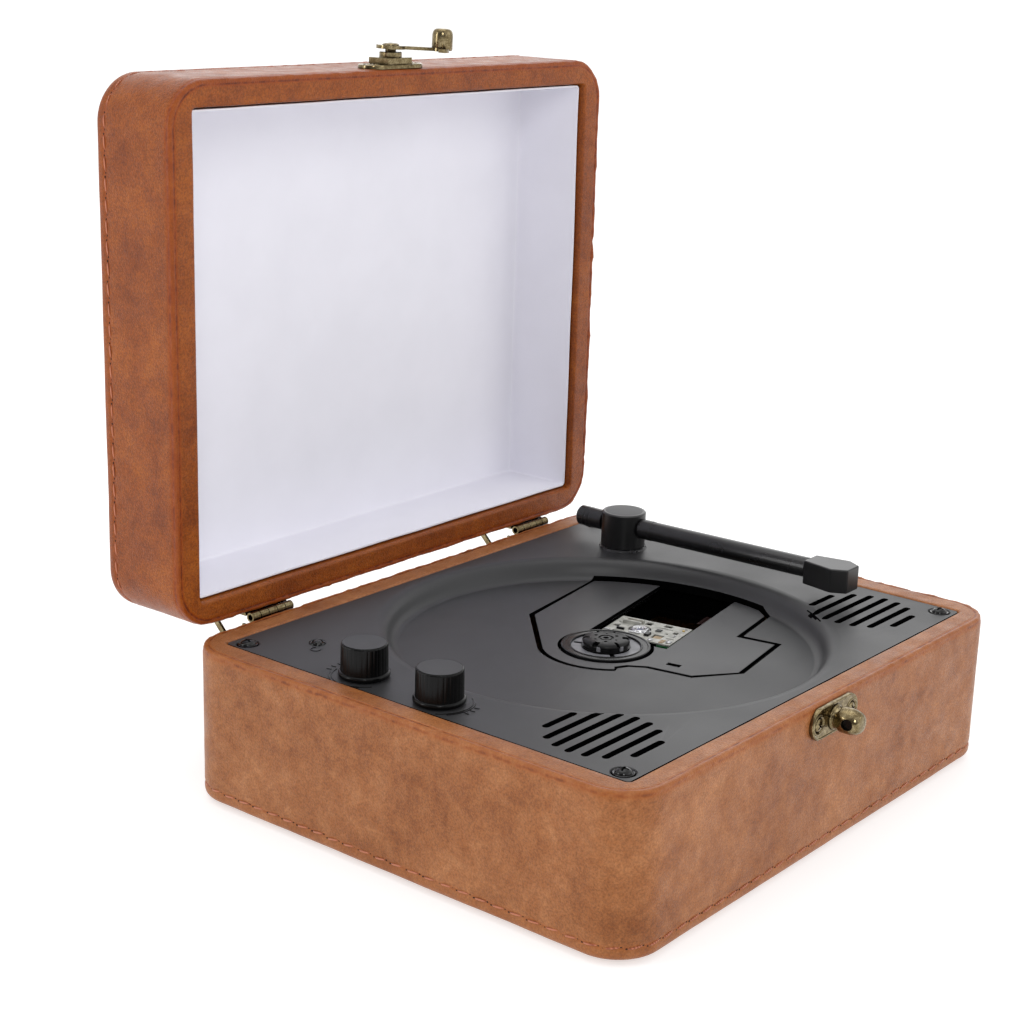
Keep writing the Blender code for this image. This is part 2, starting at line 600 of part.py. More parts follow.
def gear(name, teeth, phase):
    """A spur gear about its own axis, whose first tooth stands phase degrees from +X."""
    pitch_r = TOOTH * teeth / 2
    outline = []
    for tooth in range(teeth):
        middle = phase + 360 * tooth / teeth
        for share, radius in ((-0.24, pitch_r - 0.95 * TOOTH), (-0.1, pitch_r + 0.7 * TOOTH),
                              (0.1, pitch_r + 0.7 * TOOTH), (0.24, pitch_r - 0.95 * TOOTH)):
            angle = math.radians(middle + share * 360 / teeth)
            outline.append((radius * math.cos(angle), radius * math.sin(angle)))
    return plate(name, outline, GEAR_Z, GEAR_TOP)


def sled_drive():
    step = 360 / GEAR_TEETH
    # The rack has a tooth at GEAR_X, so the gear has a gap there, straight along +Y.
    first = 90 + step / 2
    gear_axis = empty("gear_axis", shift(GEAR_X, GEAR_Y, 0), DECK)
    drive = place(gear("drive_gear", GEAR_TEETH, first), PICKUP_GREY, gear_axis)
    join(drive, rod("drive_axle", 1.1, (0, 0, FRAME_Z - 2), (0, 0, GEAR_TOP - 1.6), 12))
    # On the line of centres the gear's teeth and the pinion's gaps face each other.
    lead = -first % step / step
    pinion_axis = empty("pinion_axis", shift(PINION_X, GEAR_Y, 0), DECK)
    pinion = gear("motor_pinion", PINION_TEETH, 180 + (0.5 + lead) * 360 / PINION_TEETH)
    place(pinion, STEEL, pinion_axis)
    join(pinion, rod("pinion_shaft", 1.0, (0, 0, 27), (0, 0, GEAR_TOP - 1.6), 12))
    motor = rod("sled_motor", 6.5, (PINION_X, GEAR_Y, 19), (PINION_X, GEAR_Y, FRAME_Z - GAP), 24)
    place(motor, STEEL, DECK)
    smooth(cut(motor, rod("sled_motor_bore", 1.4, (PINION_X, GEAR_Y, 26), (PINION_X, GEAR_Y, 40), 12)))


def electronics():
    top = BOARD_Z + BOARD_T
    board = place(box("main_board", (-72, 30), (-60, -12), (BOARD_Z, top)), GREEN_BOARD, CASE)
    chips = [(-60, -45, -50, -35, 1.6), (-38, -24, -46, -32, 1.4), (-12, 2, -52, -44, 3.0),
             (10, 22, -54, -42, 2.2), (-64, -56, -26, -18, 4.0), (-20, -8, -28, -18, 1.4)]
    for number, (x0, x1, y0, y1, tall) in enumerate(chips):
        join(board, box(f"chip_{number}", (x0, x1), (y0, y1), (top - 0.6, top + tall)))
    for number, (x, y) in enumerate([(-46, -20), (-34, -20), (14, -26), (22, -26)]):
        join(board, rod(f"capacitor_{number}", 2.5, (x, y, top - 0.6), (x, y, top + 5.9), 12))
    cell = box("battery_pack", (-66, 4), (12, 50), (CASE_FLOOR_Z + GAP, CASE_FLOOR_Z + GAP + 10))
    smooth(bevel(place(cell, BATTERY_BLUE, CASE), 3.0, 3))


# ---------------------------------------------------------------- tonearm, about its pivot on the panel
def tonearm():
    turret = [(0, 12.9), (6.9, 12.9), (TURRET_R, 12.5), (TURRET_R, 0.9), (3.0, 0.9), (3.0, -5.0), (0, -5.0)]
    pivot = place(turned("tonearm_turret", turret, segments=32), SATIN_BLACK, ARM)
    smooth(cut(pivot, box("turret_flat", (-4, 4), (-12, -7.5), (4, 12))))
    tube = rod("tonearm_tube", TUBE_R, (0, -TURRET_R - GAP, TUBE_START_Z), (0, TUBE_END, TUBE_END_Z), 20)
    smooth(place(tube, SATIN_BLACK, ARM))
    half = [(4.0, TUBE_END - GAP), (6.3, TUBE_END - 11.6), (3.6, TUBE_END - 16.4)]
    outline = half + [(-x, y) for x, y in reversed(half)]
    place(bevel(plate("headshell", outline, 4.4, 12.3), 0.4, 1), SATIN_BLACK, ARM)
    stub_z = TUBE_START_Z - 0.2
    weight = rod("counterweight", 3.45, (0, TURRET_R + GAP, stub_z), (0, STUB_END, stub_z))
    smooth(bevel(place(weight, SATIN_BLACK, ARM), 0.5, 1))


# ---------------------------------------------------------------- lid, in its closed place
def leather_lid():
    top = LID_RIM_Z + LID_H
    centre = (0, LID_Y)
    skin = shell_body("lid_leather", LID_W, LID_D, CORNER_R, LID_RIM_Z, top, EDGE_R, centre)
    place(skin, LEATHER_TAN, LID_SHUT)
    room = shell_body("lid_skin_room", LID_W - 2 * LEATHER, LID_D - 2 * LEATHER, CORNER_R - LEATHER,
                      LID_RIM_Z + LEATHER, top - LEATHER, EDGE_R - LEATHER, centre)
    half_w, half_d = LID_OPENING_W / 2, LID_OPENING_D / 2
    flange = box("lid_flange", (-half_w - LEATHER, half_w + LEATHER),
                 (LID_Y - half_d - LEATHER, LID_Y + half_d + LEATHER), (LID_RIM_Z - 5, LID_RIM_Z + 8))
    cut(room, flange)
    mouth = box("lid_mouth", (-half_w, half_w), (LID_Y - half_d, LID_Y + half_d),
                (LID_RIM_Z - 10, LID_RIM_Z + 12))
    cut(skin, room, mouth)


def board_lid():
    inset = LEATHER + GAP
    top = LID_RIM_Z + LID_H - inset
    case = shell_body("lid_board", LID_W - 2 * inset, LID_D - 2 * inset, CORNER_R - inset, LID_RIM_Z + inset,
                      top, BOARD_EDGE, (0, LID_Y), 1)
    place(case, WOOD_BOARD, LID_SHUT)
    half_w = LID_OPENING_W / 2 + LEATHER + GAP
    half_d = LID_OPENING_D / 2 + LEATHER + GAP
    cut(case, box("lid_board_room", (-half_w, half_w), (LID_Y - half_d, LID_Y + half_d),
                  (LID_RIM_Z - 5, top - LID_BOARD)))


def lid_liner():
    """Paper lining: four side panels and a top panel in one folded tray."""
    ceiling = LID_RIM_Z + LID_H - LEATHER - 2 * GAP - LID_BOARD
    half_w, half_d = LID_OPENING_W / 2 - GAP, LID_OPENING_D / 2 - GAP
    liner = box("lid_liner", (-half_w, half_w), (LID_Y - half_d, LID_Y + half_d), (LID_RIM_Z + 1.2, ceiling))
    place(liner, PAPER, LID_SHUT)
    inner_w, inner_d = half_w - LINER, half_d - LINER
    cut(liner, box("liner_room", (-inner_w, inner_w), (LID_Y - inner_d, LID_Y + inner_d),
                   (LID_RIM_Z - 5, ceiling - LINER)))


# ---------------------------------------------------------------- hinges and stays
def knuckle_ends(x0, number):
    """Start and end along X of one knuckle of a hinge whose left edge is x0."""
    pitch = HINGE_W / KNUCKLES
    return x0 + number * pitch + GAP / 2, x0 + (number + 1) * pitch - GAP / 2


def leaf(name, x0, numbers, plate_y, plate_z, parent):
    """A hinge leaf with its knuckles: numbers are the knuckles that belong to it."""
    made = place(box(name, (x0, x0 + HINGE_W), plate_y, plate_z), BRASS, parent)
    axis = (HINGE_Y, HINGE_Z)
    for number in numbers:
        start, end = knuckle_ends(x0, number)
        tab_y = (plate_y[0] + 0.06, plate_y[1] - 0.06)
        tab_z = sorted((HINGE_Z, (plate_z[0] + plate_z[1]) / 2))
        join(made, box(f"{name}_tab_{number}", (start + 0.03, end - 0.03), tab_y, tab_z),
             rod(f"{name}_knuckle_{number}", KNUCKLE_R, (start, *axis), (end, *axis), 16))
    return cut(made, rod(name + "_bore", 1.0, (x0 - 5, *axis), (x0 + HINGE_W + 5, *axis), 12))


def hinge(side, middle):
    x0 = middle - HINGE_W / 2
    back = CASE_D / 2 + GAP
    case_leaf = leaf(f"hinge_{side}_case_leaf", x0, (0, 2, 4), (back, back + LEAF_T),
                     (30.8, HINGE_Z - KNUCKLE_R - 0.35), CASE)
    guide = box(f"stay_{side}_guide", (x0 + 0.1, x0 + 1.0), (back + 0.2, back + 4.6), (31.1, 46.0))
    slot = box(f"stay_{side}_slot", (x0 - 2, x0 + 3), (STAY_FOOT[0] - 0.7, STAY_FOOT[0] + 0.7), (32.0, 44.8))
    cut(guide, slot)
    smooth(join(case_leaf, guide))
    lid_back = LID_Y + LID_D / 2 + GAP
    lid_leaf = leaf(f"hinge_{side}_lid_leaf", x0, (1, 3), (lid_back, lid_back + LEAF_T),
                    (HINGE_Z + KNUCKLE_R + 0.35, 66.6), LID_SHUT)
    # The stay's ear stands on the lid leaf; its place with the lid closed follows from the open pivot.
    pivot_y = HINGE_Y - (STAY_PIVOT[1] - HINGE_Z)
    pivot_z = HINGE_Z + (STAY_PIVOT[0] - HINGE_Y)
    ear = box(f"stay_{side}_ear", (x0 + 0.1, x0 + 1.0), (lid_back + 0.2, pivot_y + 1.7),
              (pivot_z - 1.7, 66.3))
    hole = rod(f"stay_{side}_hole", 1.0, (x0 - 3, pivot_y, pivot_z), (x0 + 3, pivot_y, pivot_z), 12)
    join(lid_leaf, ear)
    smooth(cut(lid_leaf, hole))
    pin = rod(f"hinge_{side}_pin", 0.7, (x0 - 0.3, HINGE_Y, HINGE_Z), (x0 + HINGE_W + 0.3, HINGE_Y, HINGE_Z),
              10)
    smooth(place(pin, BRASS, CASE))
    stay(side, x0)


def stay(side, x0):
    """The strut that holds the lid up; its foot runs along the slotted guide of the case leaf."""
    (top_y, top_z), (foot_y, foot_z) = STAY_PIVOT, STAY_FOOT
    foot = (foot_y - top_y, foot_z - top_z)
    heading = math.degrees(math.atan2(foot[1], foot[0]))
    outline = arc((0, 0), STAY_R, heading + 90, heading + 270, 5)
    outline += arc(foot, STAY_R, heading - 90, heading + 90, 5)
    # The outline is drawn in Y and Z, so the frame at the pivot stands its plane up along X.
    stood_up = Matrix(((0, 0, 1, 0), (1, 0, 0, 0), (0, 1, 0, 0), (0, 0, 0, 1)))
    axis = empty(f"stay_{side}_axis", shift(x0, top_y, top_z) @ stood_up)
    bar = place(plate(f"stay_{side}", outline, -GAP - 0.9, -GAP), BRASS, axis)
    join(bar, rod(f"stay_{side}_peg", 0.65, (0, 0, -0.8), (0, 0, 1.4), 10))


# ---------------------------------------------------------------- catch on the case, latch on the lid
def screw_plate(name, parent):
    """A plate with half-round ends and two screw holes."""
    radius = LATCH_PLATE_H / 2
    end_x = LATCH_PLATE_W / 2 - radius
    outline = arc((end_x, 0), radius, -90, 90, 8) + arc((-end_x, 0), radius, 90, 270, 8)
    made = place(plate(name, outline, GAP, LATCH_PLATE_TOP), BRASS, parent)
    for side in (-1, 1):
        x = side * LATCH_SCREW_X
        cut(made, rod(f"{name}_hole_{side}", 1.2, (x, 0, -3), (x, 0, 5), 10),
            rod(f"{name}_seat_{side}", 2.3, (x, 0, LATCH_SEAT), (x, 0, 5), 20))
    return made


def catch():
    """A post with a domed head over a neck that takes the hook, and a cross hole for a padlock."""
    screw_plate("catch_plate", CATCH)
    base = LATCH_PLATE_TOP + GAP
    profile = [(0, base + 8.2), (1.8, base + 8.0), (3.0, base + 7.3), (3.6, base + 6.2), (3.8, base + 2.9),
               (2.9, base + 2.6), (2.9, base), (0, base)]
    post = place(turned("catch_post", profile, segments=24), BRASS, CATCH)
    smooth(cut(post, rod("padlock_hole", 1.7, (-8, 0, base + 5.0), (8, 0, base + 5.0), 16)))


def latch():
    """A square block with a turned drum, whose groove holds the hook's eye under a cap."""
    screw_plate("latch_plate", LATCH)
    base = LATCH_PLATE_TOP + GAP
    block_top = base + 1.6
    neck_end = HOOK_LOW + HOOK_T + GAP
    block = place(box("latch_block", (-5.5, 5.5), (-4.1, 4.1), (base, block_top)), BRASS, LATCH)
    drum = [(0, neck_end + 0.95), (2.2, neck_end + 0.95), (2.7, neck_end + 0.7), (2.7, neck_end),
            (1.7, neck_end), (1.7, HOOK_LOW - GAP), (3.5, HOOK_LOW - GAP), (3.5, block_top - 0.5),
            (0, block_top - 0.5)]
    smooth(join(block, turned("latch_drum", drum, segments=20)))


def hook():
    """The arm turns on the latch's drum; its horn goes round the catch's post. Shank along -Y here."""
    low, high = HOOK_LOW, HOOK_LOW + HOOK_T
    shank = [(-1.6, 0), (-1.6, -HOOK_REACH), (1.6, -HOOK_REACH), (1.6, 0)]
    arm = place(plate("hook_arm", shank, low, high), BRASS, HOOK)
    aside = math.radians(HOOK_OFFSET)
    post = (-HOOK_TO_POST * math.sin(aside), -HOOK_TO_POST * math.cos(aside))
    outward = -90 - HOOK_OFFSET
    horn = arc(post, 6.1, outward + 78, outward - 25, 9) + arc(post, 3.4, outward - 25, outward + 78, 9)
    join(arm, plate("hook_eye", circle((0, 0), 4.5, 20), low, high), plate("hook_horn", horn, low, high),
         plate("hook_pad", circle((0, -HOOK_REACH), 2.3, 16), low, high))
    cut(arm, rod("hook_bore", 2.1, (0, 0, low - 2), (0, 0, high + 2), 16))
    base = high + GAP
    cap = [(0, base + 5.6), (2.0, base + 5.5), (2.9, base + 4.9), (3.25, base + 3.9), (3.25, base), (0, base)]
    smooth(place(turned("hook_knob", cap, (0, -HOOK_REACH, 0), 20), BRASS, HOOK))


def small_screws():
    for owner, frame in (("catch", CATCH), ("latch", LATCH)):
        for number, side in enumerate((-1, 1), 1):
            at = (side * LATCH_SCREW_X, 0, LATCH_SEAT + 0.2)
            cross_screw(f"{owner}_screw_{number}", at, 2.0, 0.8, 0.6, 0.8, BRASS, frame)


leather_case()
board_case()
feet()
power_socket()
top_panel()
panel_screws()
speakers()
for knob_name, (knob_x, knob_y) in KNOBS.items():
    knob(knob_name, knob_x, knob_y)
deck_plate()
mechanism_frame()
guide_rods()
spindle()
pickup()
sled_drive()
electronics()
tonearm()
leather_lid()
board_lid()
lid_liner()
for hinge_side, hinge_middle in HINGE_XS.items():
    hinge(hinge_side, hinge_middle)
catch()
latch()
hook()
small_screws()
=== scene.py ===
"""Looks of the suitcase player: leather, lining, moulded plastic, brass and the disc mechanism.

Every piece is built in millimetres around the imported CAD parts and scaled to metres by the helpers.
Places come from the CAD parts' boxes and from a few driving sizes below.
"""

import math

import bmesh
import bpy
from mathutils import Matrix, Vector, noise


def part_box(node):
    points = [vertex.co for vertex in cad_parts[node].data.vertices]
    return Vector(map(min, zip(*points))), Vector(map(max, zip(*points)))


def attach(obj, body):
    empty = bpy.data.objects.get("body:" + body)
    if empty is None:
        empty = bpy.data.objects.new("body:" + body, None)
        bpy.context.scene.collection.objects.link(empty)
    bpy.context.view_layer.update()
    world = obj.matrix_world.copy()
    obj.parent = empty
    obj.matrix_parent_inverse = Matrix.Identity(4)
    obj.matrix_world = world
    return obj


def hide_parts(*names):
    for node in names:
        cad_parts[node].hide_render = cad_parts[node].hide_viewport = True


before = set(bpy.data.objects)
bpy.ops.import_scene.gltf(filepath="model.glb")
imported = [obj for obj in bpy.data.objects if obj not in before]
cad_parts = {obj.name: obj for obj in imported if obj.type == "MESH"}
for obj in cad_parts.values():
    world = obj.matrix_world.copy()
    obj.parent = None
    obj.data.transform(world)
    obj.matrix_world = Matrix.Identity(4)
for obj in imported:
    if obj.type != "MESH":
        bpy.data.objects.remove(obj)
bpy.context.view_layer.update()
MM = 0.001

# Case and lid covers
CORNER_R = 14.0
EDGE_R = 2.2
CASE_OPENING = (180.0, 147.0)
LID_OPENING = (179.7, 144.3)
CASE_STITCH_UP = 4.0      # height of the case's seam over its underside
LID_STITCH_UP = 4.1       # distance of the lid's seam from its back
STITCH_PITCH = 6.0

# Panel and disc well
PANEL_T = 2.0
ARM_BOSS = 0.6            # height of the arm's boss, the panel's highest point
WELL_DEPTH = 6.2
WELL_FLOOR_R = 62.8
WELL_WALL_R = 68.8
SPEAKER_SPOTS = {"left": (-69.0, -49.8), "right": (69.0, -49.8)}
SLOT_PITCH = 4.85
SLOT_W = 2.2
SLOT_FIELD_R = 16.2
SCREW_SEAT = 1.0
SCREW_SEAT_R = 3.2
LAMP_SPOT = (-71.0, 54.0)
LAMP_SIGN_SPOT = (-75.2, 50.6)

# Disc mechanism, turned against the case
DECK_TURN = Matrix.Rotation(math.radians(10.0), 4, "Z")
DECK_GAP = 1.7
DECK_ARC_R = 21.4
DECK_T = 1.4
SLED_SLOT = (-16.8, 11.0)
SENSOR_HOLE = (-3.4, -24.5)

# Catch and latch, in frames whose Z stands out of the leather
PLATE_GAP = 0.3
PLATE_ENDS = 7.7          # from a plate's middle to the centre of its round ends
PLATE_R = 4.8
SMALL_SCREW_X = 8.9
HOOK_TURN = 52.0          # degrees that the hook stands aside, as photographed
HOOK_LOW = 5.15
HOOK_T = 1.1
HOOK_REACH = 16.1
HOOK_RISE = 0.6           # the hook's root stands this much over its rest height and leans down to its knob
HOOK_LEAN = 2.1           # degrees
POST_REACH = 12.15        # from the hook's pivot to the catch's post, with the lid shut
POST_ASIDE = math.radians(27.0)
LID_LEAF_LOW = 48.9       # free face of a hinge leaf on the open lid
CASE_LEAF_FACE = 82.95    # free face of a hinge leaf on the back of the case


# ---------------------------------------------------------------- helpers
def cad(node):
    """The lowest and highest corners of a CAD node, in millimetres."""
    low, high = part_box(node)
    return low / MM, high / MM


def middle(node):
    low, high = cad(node)
    return (low + high) / 2


def added(name, data):
    """An object in the scene, from a mesh, a light or a camera."""
    made = bpy.data.objects.new(name, data)
    bpy.context.scene.collection.objects.link(made)
    return made


def mesh_of(bm, name="shape"):
    mesh = bpy.data.meshes.new(name)
    bm.to_mesh(mesh)
    bm.free()
    return mesh


def moved(bm, matrix):
    bmesh.ops.transform(bm, matrix=matrix, verts=bm.verts)
    return bm


def piece(name, bm, body, mat, replaces=(), matrix=None):
    """Makes an object from a bmesh in millimetres, with its material and the body that it rides on."""
    if matrix:
        moved(bm, matrix)
    bmesh.ops.scale(bm, vec=(MM, MM, MM), verts=bm.verts)
    made = added(name, mesh_of(bm, name))
    made.data.materials.append(mat)
    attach(made, body)
    if replaces:
        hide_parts(*replaces)
    return made


def shade(obj, angle=32.0):
    obj.data.shade_smooth()
    obj.data.set_sharp_from_angle(angle=math.radians(angle))
    return obj


def settle(obj):
    """Applies an object's modifiers to its mesh."""
    depsgraph = bpy.context.evaluated_depsgraph_get()
    mesh = bpy.data.meshes.new_from_object(obj.evaluated_get(depsgraph))
    obj.modifiers.clear()
    obj.data = mesh
    return obj


def soften(obj, width, segments=3, angle=40.0):
    """Rounds the sharp edges and keeps the flats flat in the shading."""
    obj.data.shade_smooth()
    bevel = obj.modifiers.new("edges", "BEVEL")
    bevel.width = width * MM
    bevel.segments = segments
    bevel.limit_method = "ANGLE"
    bevel.angle_limit = math.radians(angle)
    bevel.harden_normals = True
    return settle(obj)


def weigh_normals(obj, angle=40.0):
    """Keeps large flat faces evenly shaded beside small curved ones."""
    shade(obj, angle)
    weighted = obj.modifiers.new("normals", "WEIGHTED_NORMAL")
    weighted.keep_sharp = True
    return settle(obj)


def carve(bm, *cutters, operation="DIFFERENCE"):
    """Booleans whole bmeshes, all in millimetres, and gives back a bmesh."""
    base = added("carved", mesh_of(bm))
    tools = [added("cutter", mesh_of(cutter)) for cutter in cutters]
    for tool in tools:
        modifier = base.modifiers.new("carve", "BOOLEAN")
        modifier.operation = operation
        modifier.object = tool
    bpy.context.view_layer.update()
    settle(base)
    result = bmesh.new()
    result.from_mesh(base.data)
    for used in (base, *tools):
        bpy.data.objects.remove(used, do_unlink=True)
    return result


def gathered(shapes):
    """Puts separate bmeshes into one."""
    bm = bmesh.new()
    for shape in shapes:
        mesh = mesh_of(shape)
        bm.from_mesh(mesh)
        bpy.data.meshes.remove(mesh)
    return bm


def block(x, y, z):
    bm = bmesh.new()
    size = Vector((x[1] - x[0], y[1] - y[0], z[1] - z[0]))
    centre = Vector((x[0] + x[1], y[0] + y[1], z[0] + z[1])) / 2
    bmesh.ops.create_cube(bm, size=1.0, matrix=Matrix.Translation(centre) @ Matrix.Diagonal((*size, 1.0)))
    return bm


def bar(start, end, radius, segments=32, end_radius=None):
    """A cylinder or a cone from one point to another."""
    start, end = Vector(start), Vector(end)
    turn = (end - start).to_track_quat("Z", "Y").to_matrix().to_4x4()
    bm = bmesh.new()
    bmesh.ops.create_cone(bm, cap_ends=True, segments=segments, radius1=radius,
                          radius2=radius if end_radius is None else end_radius,
                          depth=(end - start).length, matrix=Matrix.Translation((start + end) / 2) @ turn)
    return bm


def turned(profile, centre=(0.0, 0.0), segments=64):
    """A shape turned about a vertical axis, from (radius, height) points that start and end on the axis."""
    bm = bmesh.new()
    rings = []
    for radius, height in profile:
        count = 1 if radius < 1e-6 else segments
        rings.append([bm.verts.new((centre[0] + radius * math.cos(math.tau * i / count),
                                    centre[1] + radius * math.sin(math.tau * i / count), height))
                      for i in range(count)])
    for upper, lower in zip(rings, rings[1:]):
        for i in range(segments):
            corners = [upper[i % len(upper)], lower[i % len(lower)], lower[(i + 1) % len(lower)],
                       upper[(i + 1) % len(upper)]]
            kept = list(dict.fromkeys(corners))
            if len(kept) > 2:
                bm.faces.new(kept)
    bmesh.ops.recalc_face_normals(bm, faces=bm.faces)
    return bm


def plate(outline, z0, z1):
    bm = bmesh.new()
    face = bm.faces.new([bm.verts.new((x, y, z0)) for x, y in outline])
    raised = bmesh.ops.extrude_face_region(bm, geom=[face])["geom"]
    bmesh.ops.translate(bm, verts=[v for v in raised if isinstance(v, bmesh.types.BMVert)],
                        vec=(0, 0, z1 - z0))
    bmesh.ops.recalc_face_normals(bm, faces=bm.faces)
    return bm


def loft(rings, cap_start=True, cap_end=True):
    """Quads between rings of points, all with the same count."""
    bm = bmesh.new()
    rows = [[bm.verts.new(point) for point in ring] for ring in rings]
    for upper, lower in zip(rows, rows[1:]):
        for i in range(len(upper)):
            j = (i + 1) % len(upper)
            bm.faces.new((upper[i], upper[j], lower[j], lower[i]))
    if cap_start:
        bm.faces.new(list(reversed(rows[0])))
    if cap_end:
        bm.faces.new(rows[-1])
    bmesh.ops.recalc_face_normals(bm, faces=bm.faces)
    return bm


def arc(centre, radius, start, end, steps):
    angles = [math.radians(start + (end - start) * i / steps) for i in range(steps + 1)]
    return [(centre[0] + radius * math.cos(a), centre[1] + radius * math.sin(a)) for a in angles]


def circle(centre, radius, steps=48):
    return arc(centre, radius, 0, 360 - 360 / steps, steps - 1)


def round_rect(width, depth, radius, corner=12, along=(1, 1)):
    """A rounded rectangle's points, counterclockwise, with steps along its long and short sides."""
    corners = [arc((sx * (width / 2 - radius), sy * (depth / 2 - radius)), radius, start, start + 90, corner)
               for sx, sy, start in ((1, 1, 0), (-1, 1, 90), (-1, -1, 180), (1, -1, 270))]
    points = []
    for index, rounded in enumerate(corners):
        points += rounded
        (x0, y0), (x1, y1) = rounded[-1], corners[(index + 1) % 4][0]
        steps = along[index % 2]
        points += [(x0 + (x1 - x0) * i / steps, y0 + (y1 - y0) * i / steps) for i in range(1, steps)]
    return points


def lifted(points, z):
    """Flat points as vectors at one height."""
    return [Vector((x, y, z)) for x, y in points]


def smooth_curve(points, per_span=4):
    """A smooth curve through (radius, height) points."""
    curve = []
    for i in range(len(points) - 1):
        before = points[max(i - 1, 0)]
        here, there = points[i], points[i + 1]
        after = points[min(i + 2, len(points) - 1)]
        for step in range(per_span):
            t = step / per_span
            curve.append(tuple(0.5 * (2 * b + (c - a) * t + (2 * a - 5 * b + 4 * c - d) * t * t
                                      + (3 * b - a - 3 * c + d) * t ** 3)
                               for a, b, c, d in zip(before, here, there, after)))
    return curve + [points[-1]]


# ---------------------------------------------------------------- materials
def srgb(red, green, blue):
    """A colour given in 0-255 display values, as linear light."""
    return tuple((c / 255 / 12.92) if c < 11 else ((c / 255 + 0.055) / 1.055) ** 2.4
                 for c in (red, green, blue))


class Shader:
    """A small wrapper that adds nodes and links to one material."""

    def __init__(self, name, colour, roughness, metallic=0.0, **inputs):
        self.material = bpy.data.materials.new(name)
        self.material.use_nodes = True
        self.tree = self.material.node_tree
        self.bsdf = self.tree.nodes["Principled BSDF"]
        self.bsdf.inputs["Base Color"].default_value = (*colour, 1.0)
        self.bsdf.inputs["Roughness"].default_value = roughness
        self.bsdf.inputs["Metallic"].default_value = metallic
        for key, value in inputs.items():
            self.bsdf.inputs[key.replace("_", " ")].default_value = value
        self.place = self.tree.nodes.new("ShaderNodeTexCoord").outputs["Object"]

    def node(self, kind, inputs=None, **settings):
        """A new node, with each input linked to a socket or set to a value."""
        made = self.tree.nodes.new(kind)
        for key, value in settings.items():
            setattr(made, key, value)
        for key, value in (inputs or {}).items():
            if isinstance(value, bpy.types.NodeSocket):
                self.tree.links.new(value, made.inputs[key])
            else:
                made.inputs[key].default_value = value
        return made

    def noise(self, size, detail=3.0, roughness=0.5, distortion=0.0, stretch=None):
        """Noise whose blotches are about size millimetres across."""
        place = self.place
        if stretch:
            place = self.node("ShaderNodeMapping", {"Vector": place, "Scale": stretch}).outputs["Vector"]
        return self.node("ShaderNodeTexNoise", {
            "Vector": place, "Scale": 1 / (size * MM), "Detail": detail, "Roughness": roughness,
            "Distortion": distortion}).outputs["Fac"]

    def ramp(self, value, stops):
        """Colours, or greys, between stops of (position, colour)."""
        made = self.node("ShaderNodeValToRGB", {"Fac": value})
        elements = made.color_ramp.elements
        while len(elements) < len(stops):
            elements.new(0.5)
        for element, (position, colour) in zip(elements, stops):
            element.position = position
            element.color = (*colour, 1.0) if isinstance(colour, tuple) else (colour, colour, colour, 1.0)
        return made.outputs["Color"]

    def mix(self, factor, first, second, blend="MIX"):
        first, second = ((*value, 1.0) if isinstance(value, tuple) else value for value in (first, second))
        made = self.node("ShaderNodeMix", {0: factor, 6: first, 7: second}, data_type="RGBA",
                         blend_type=blend)
        return made.outputs[2]

    def math(self, operation, first, second=0.0):
        return self.node("ShaderNodeMath", {0: first, 1: second}, operation=operation).outputs[0]

    def bump(self, height, depth, normal=None):
        """A bump of about depth millimetres from a height value."""
        inputs = {"Height": height, "Distance": depth * MM, "Strength": 1.0}
        if normal:
            inputs["Normal"] = normal
        return self.node("ShaderNodeBump", inputs).outputs["Normal"]

    def set(self, name, value):
        self.tree.links.new(value, self.bsdf.inputs[name])
        return self


def leather(name, depth):
    """Tan artificial leather: cloudy colour, fine pebble grain and a waxy gloss; depth darkens the colour as
    painted shade, for a shaded copy of the same leather.
    """
    # Painted shade: a larger depth darkens every tone of the leather for its shaded copy.
    def tan(red, green, blue):
        return srgb(red * (1 - 0.08 * depth), green * (1 - 0.26 * depth), blue * (1 - 0.66 * depth))

    made = Shader(name, tan(150, 94, 52), 0.4, Coat_Weight=0.05, Coat_Roughness=0.28,
                  Specular_IOR_Level=0.24)
    clouds = made.noise(24, 5.0, 0.62, 0.25)
    blotches = made.noise(5, 5.0, 0.65, 0.3)
    specks = made.noise(0.62, 3.0, 0.7)
    tone = made.math("ADD", made.math("MULTIPLY", clouds, 0.5), made.math("MULTIPLY", blotches, 0.5))
    colour = made.ramp(tone, [(0.36, tan(138, 79, 37)), (0.47, tan(157, 96, 51)), (0.55, tan(167, 106, 61)),
                              (0.66, tan(182, 121, 75))])
    grain_tone = made.ramp(specks, [(0.36, 0.45), (0.62, 1.0)])
    colour = made.mix(0.66 + 0.1 * depth, colour, grain_tone, "MULTIPLY")
    # The crease tone gives the folds an orange-brown colour and paints shade, darkest, into their grooves.
    crease = made.node("ShaderNodeAttribute", attribute_name="crease").outputs["Fac"]
    crease = made.math("MULTIPLY", crease, made.ramp(made.noise(2.2, 3.0), [(0.36, 0.6), (0.6, 1.25)]))
    crease_colour_and_shade = made.ramp(crease, [(0.3, tan(160, 90, 40)), (0.6, tan(142, 74, 28)), (0.95, tan(104, 52, 20))])
    colour = made.mix(made.ramp(crease, [(0.0, 0.0), (0.5, 0.75), (0.9, 1.0)]), colour, crease_colour_and_shade)
    made.set("Base Color", colour)
    cells = made.node("ShaderNodeTexVoronoi",
                      {"Vector": made.place, "Scale": 1 / (0.75 * MM), "Randomness": 1.0},
                      feature="DISTANCE_TO_EDGE").outputs["Distance"]
    pebbles = made.ramp(cells, [(0.0, 0.0), (0.22, 1.0)])
    fine = made.bump(made.noise(0.35, 2.0), 0.02)
    creases = made.bump(made.noise(2.6, 4.0, 0.62, 0.8), 0.12, fine)
    made.set("Normal", made.bump(pebbles, 0.05, creases))
    gloss = made.ramp(made.noise(7, 4.0), [(0.35, 0.32), (0.65, 0.48)])
    made.set("Roughness", gloss)
    return made.material


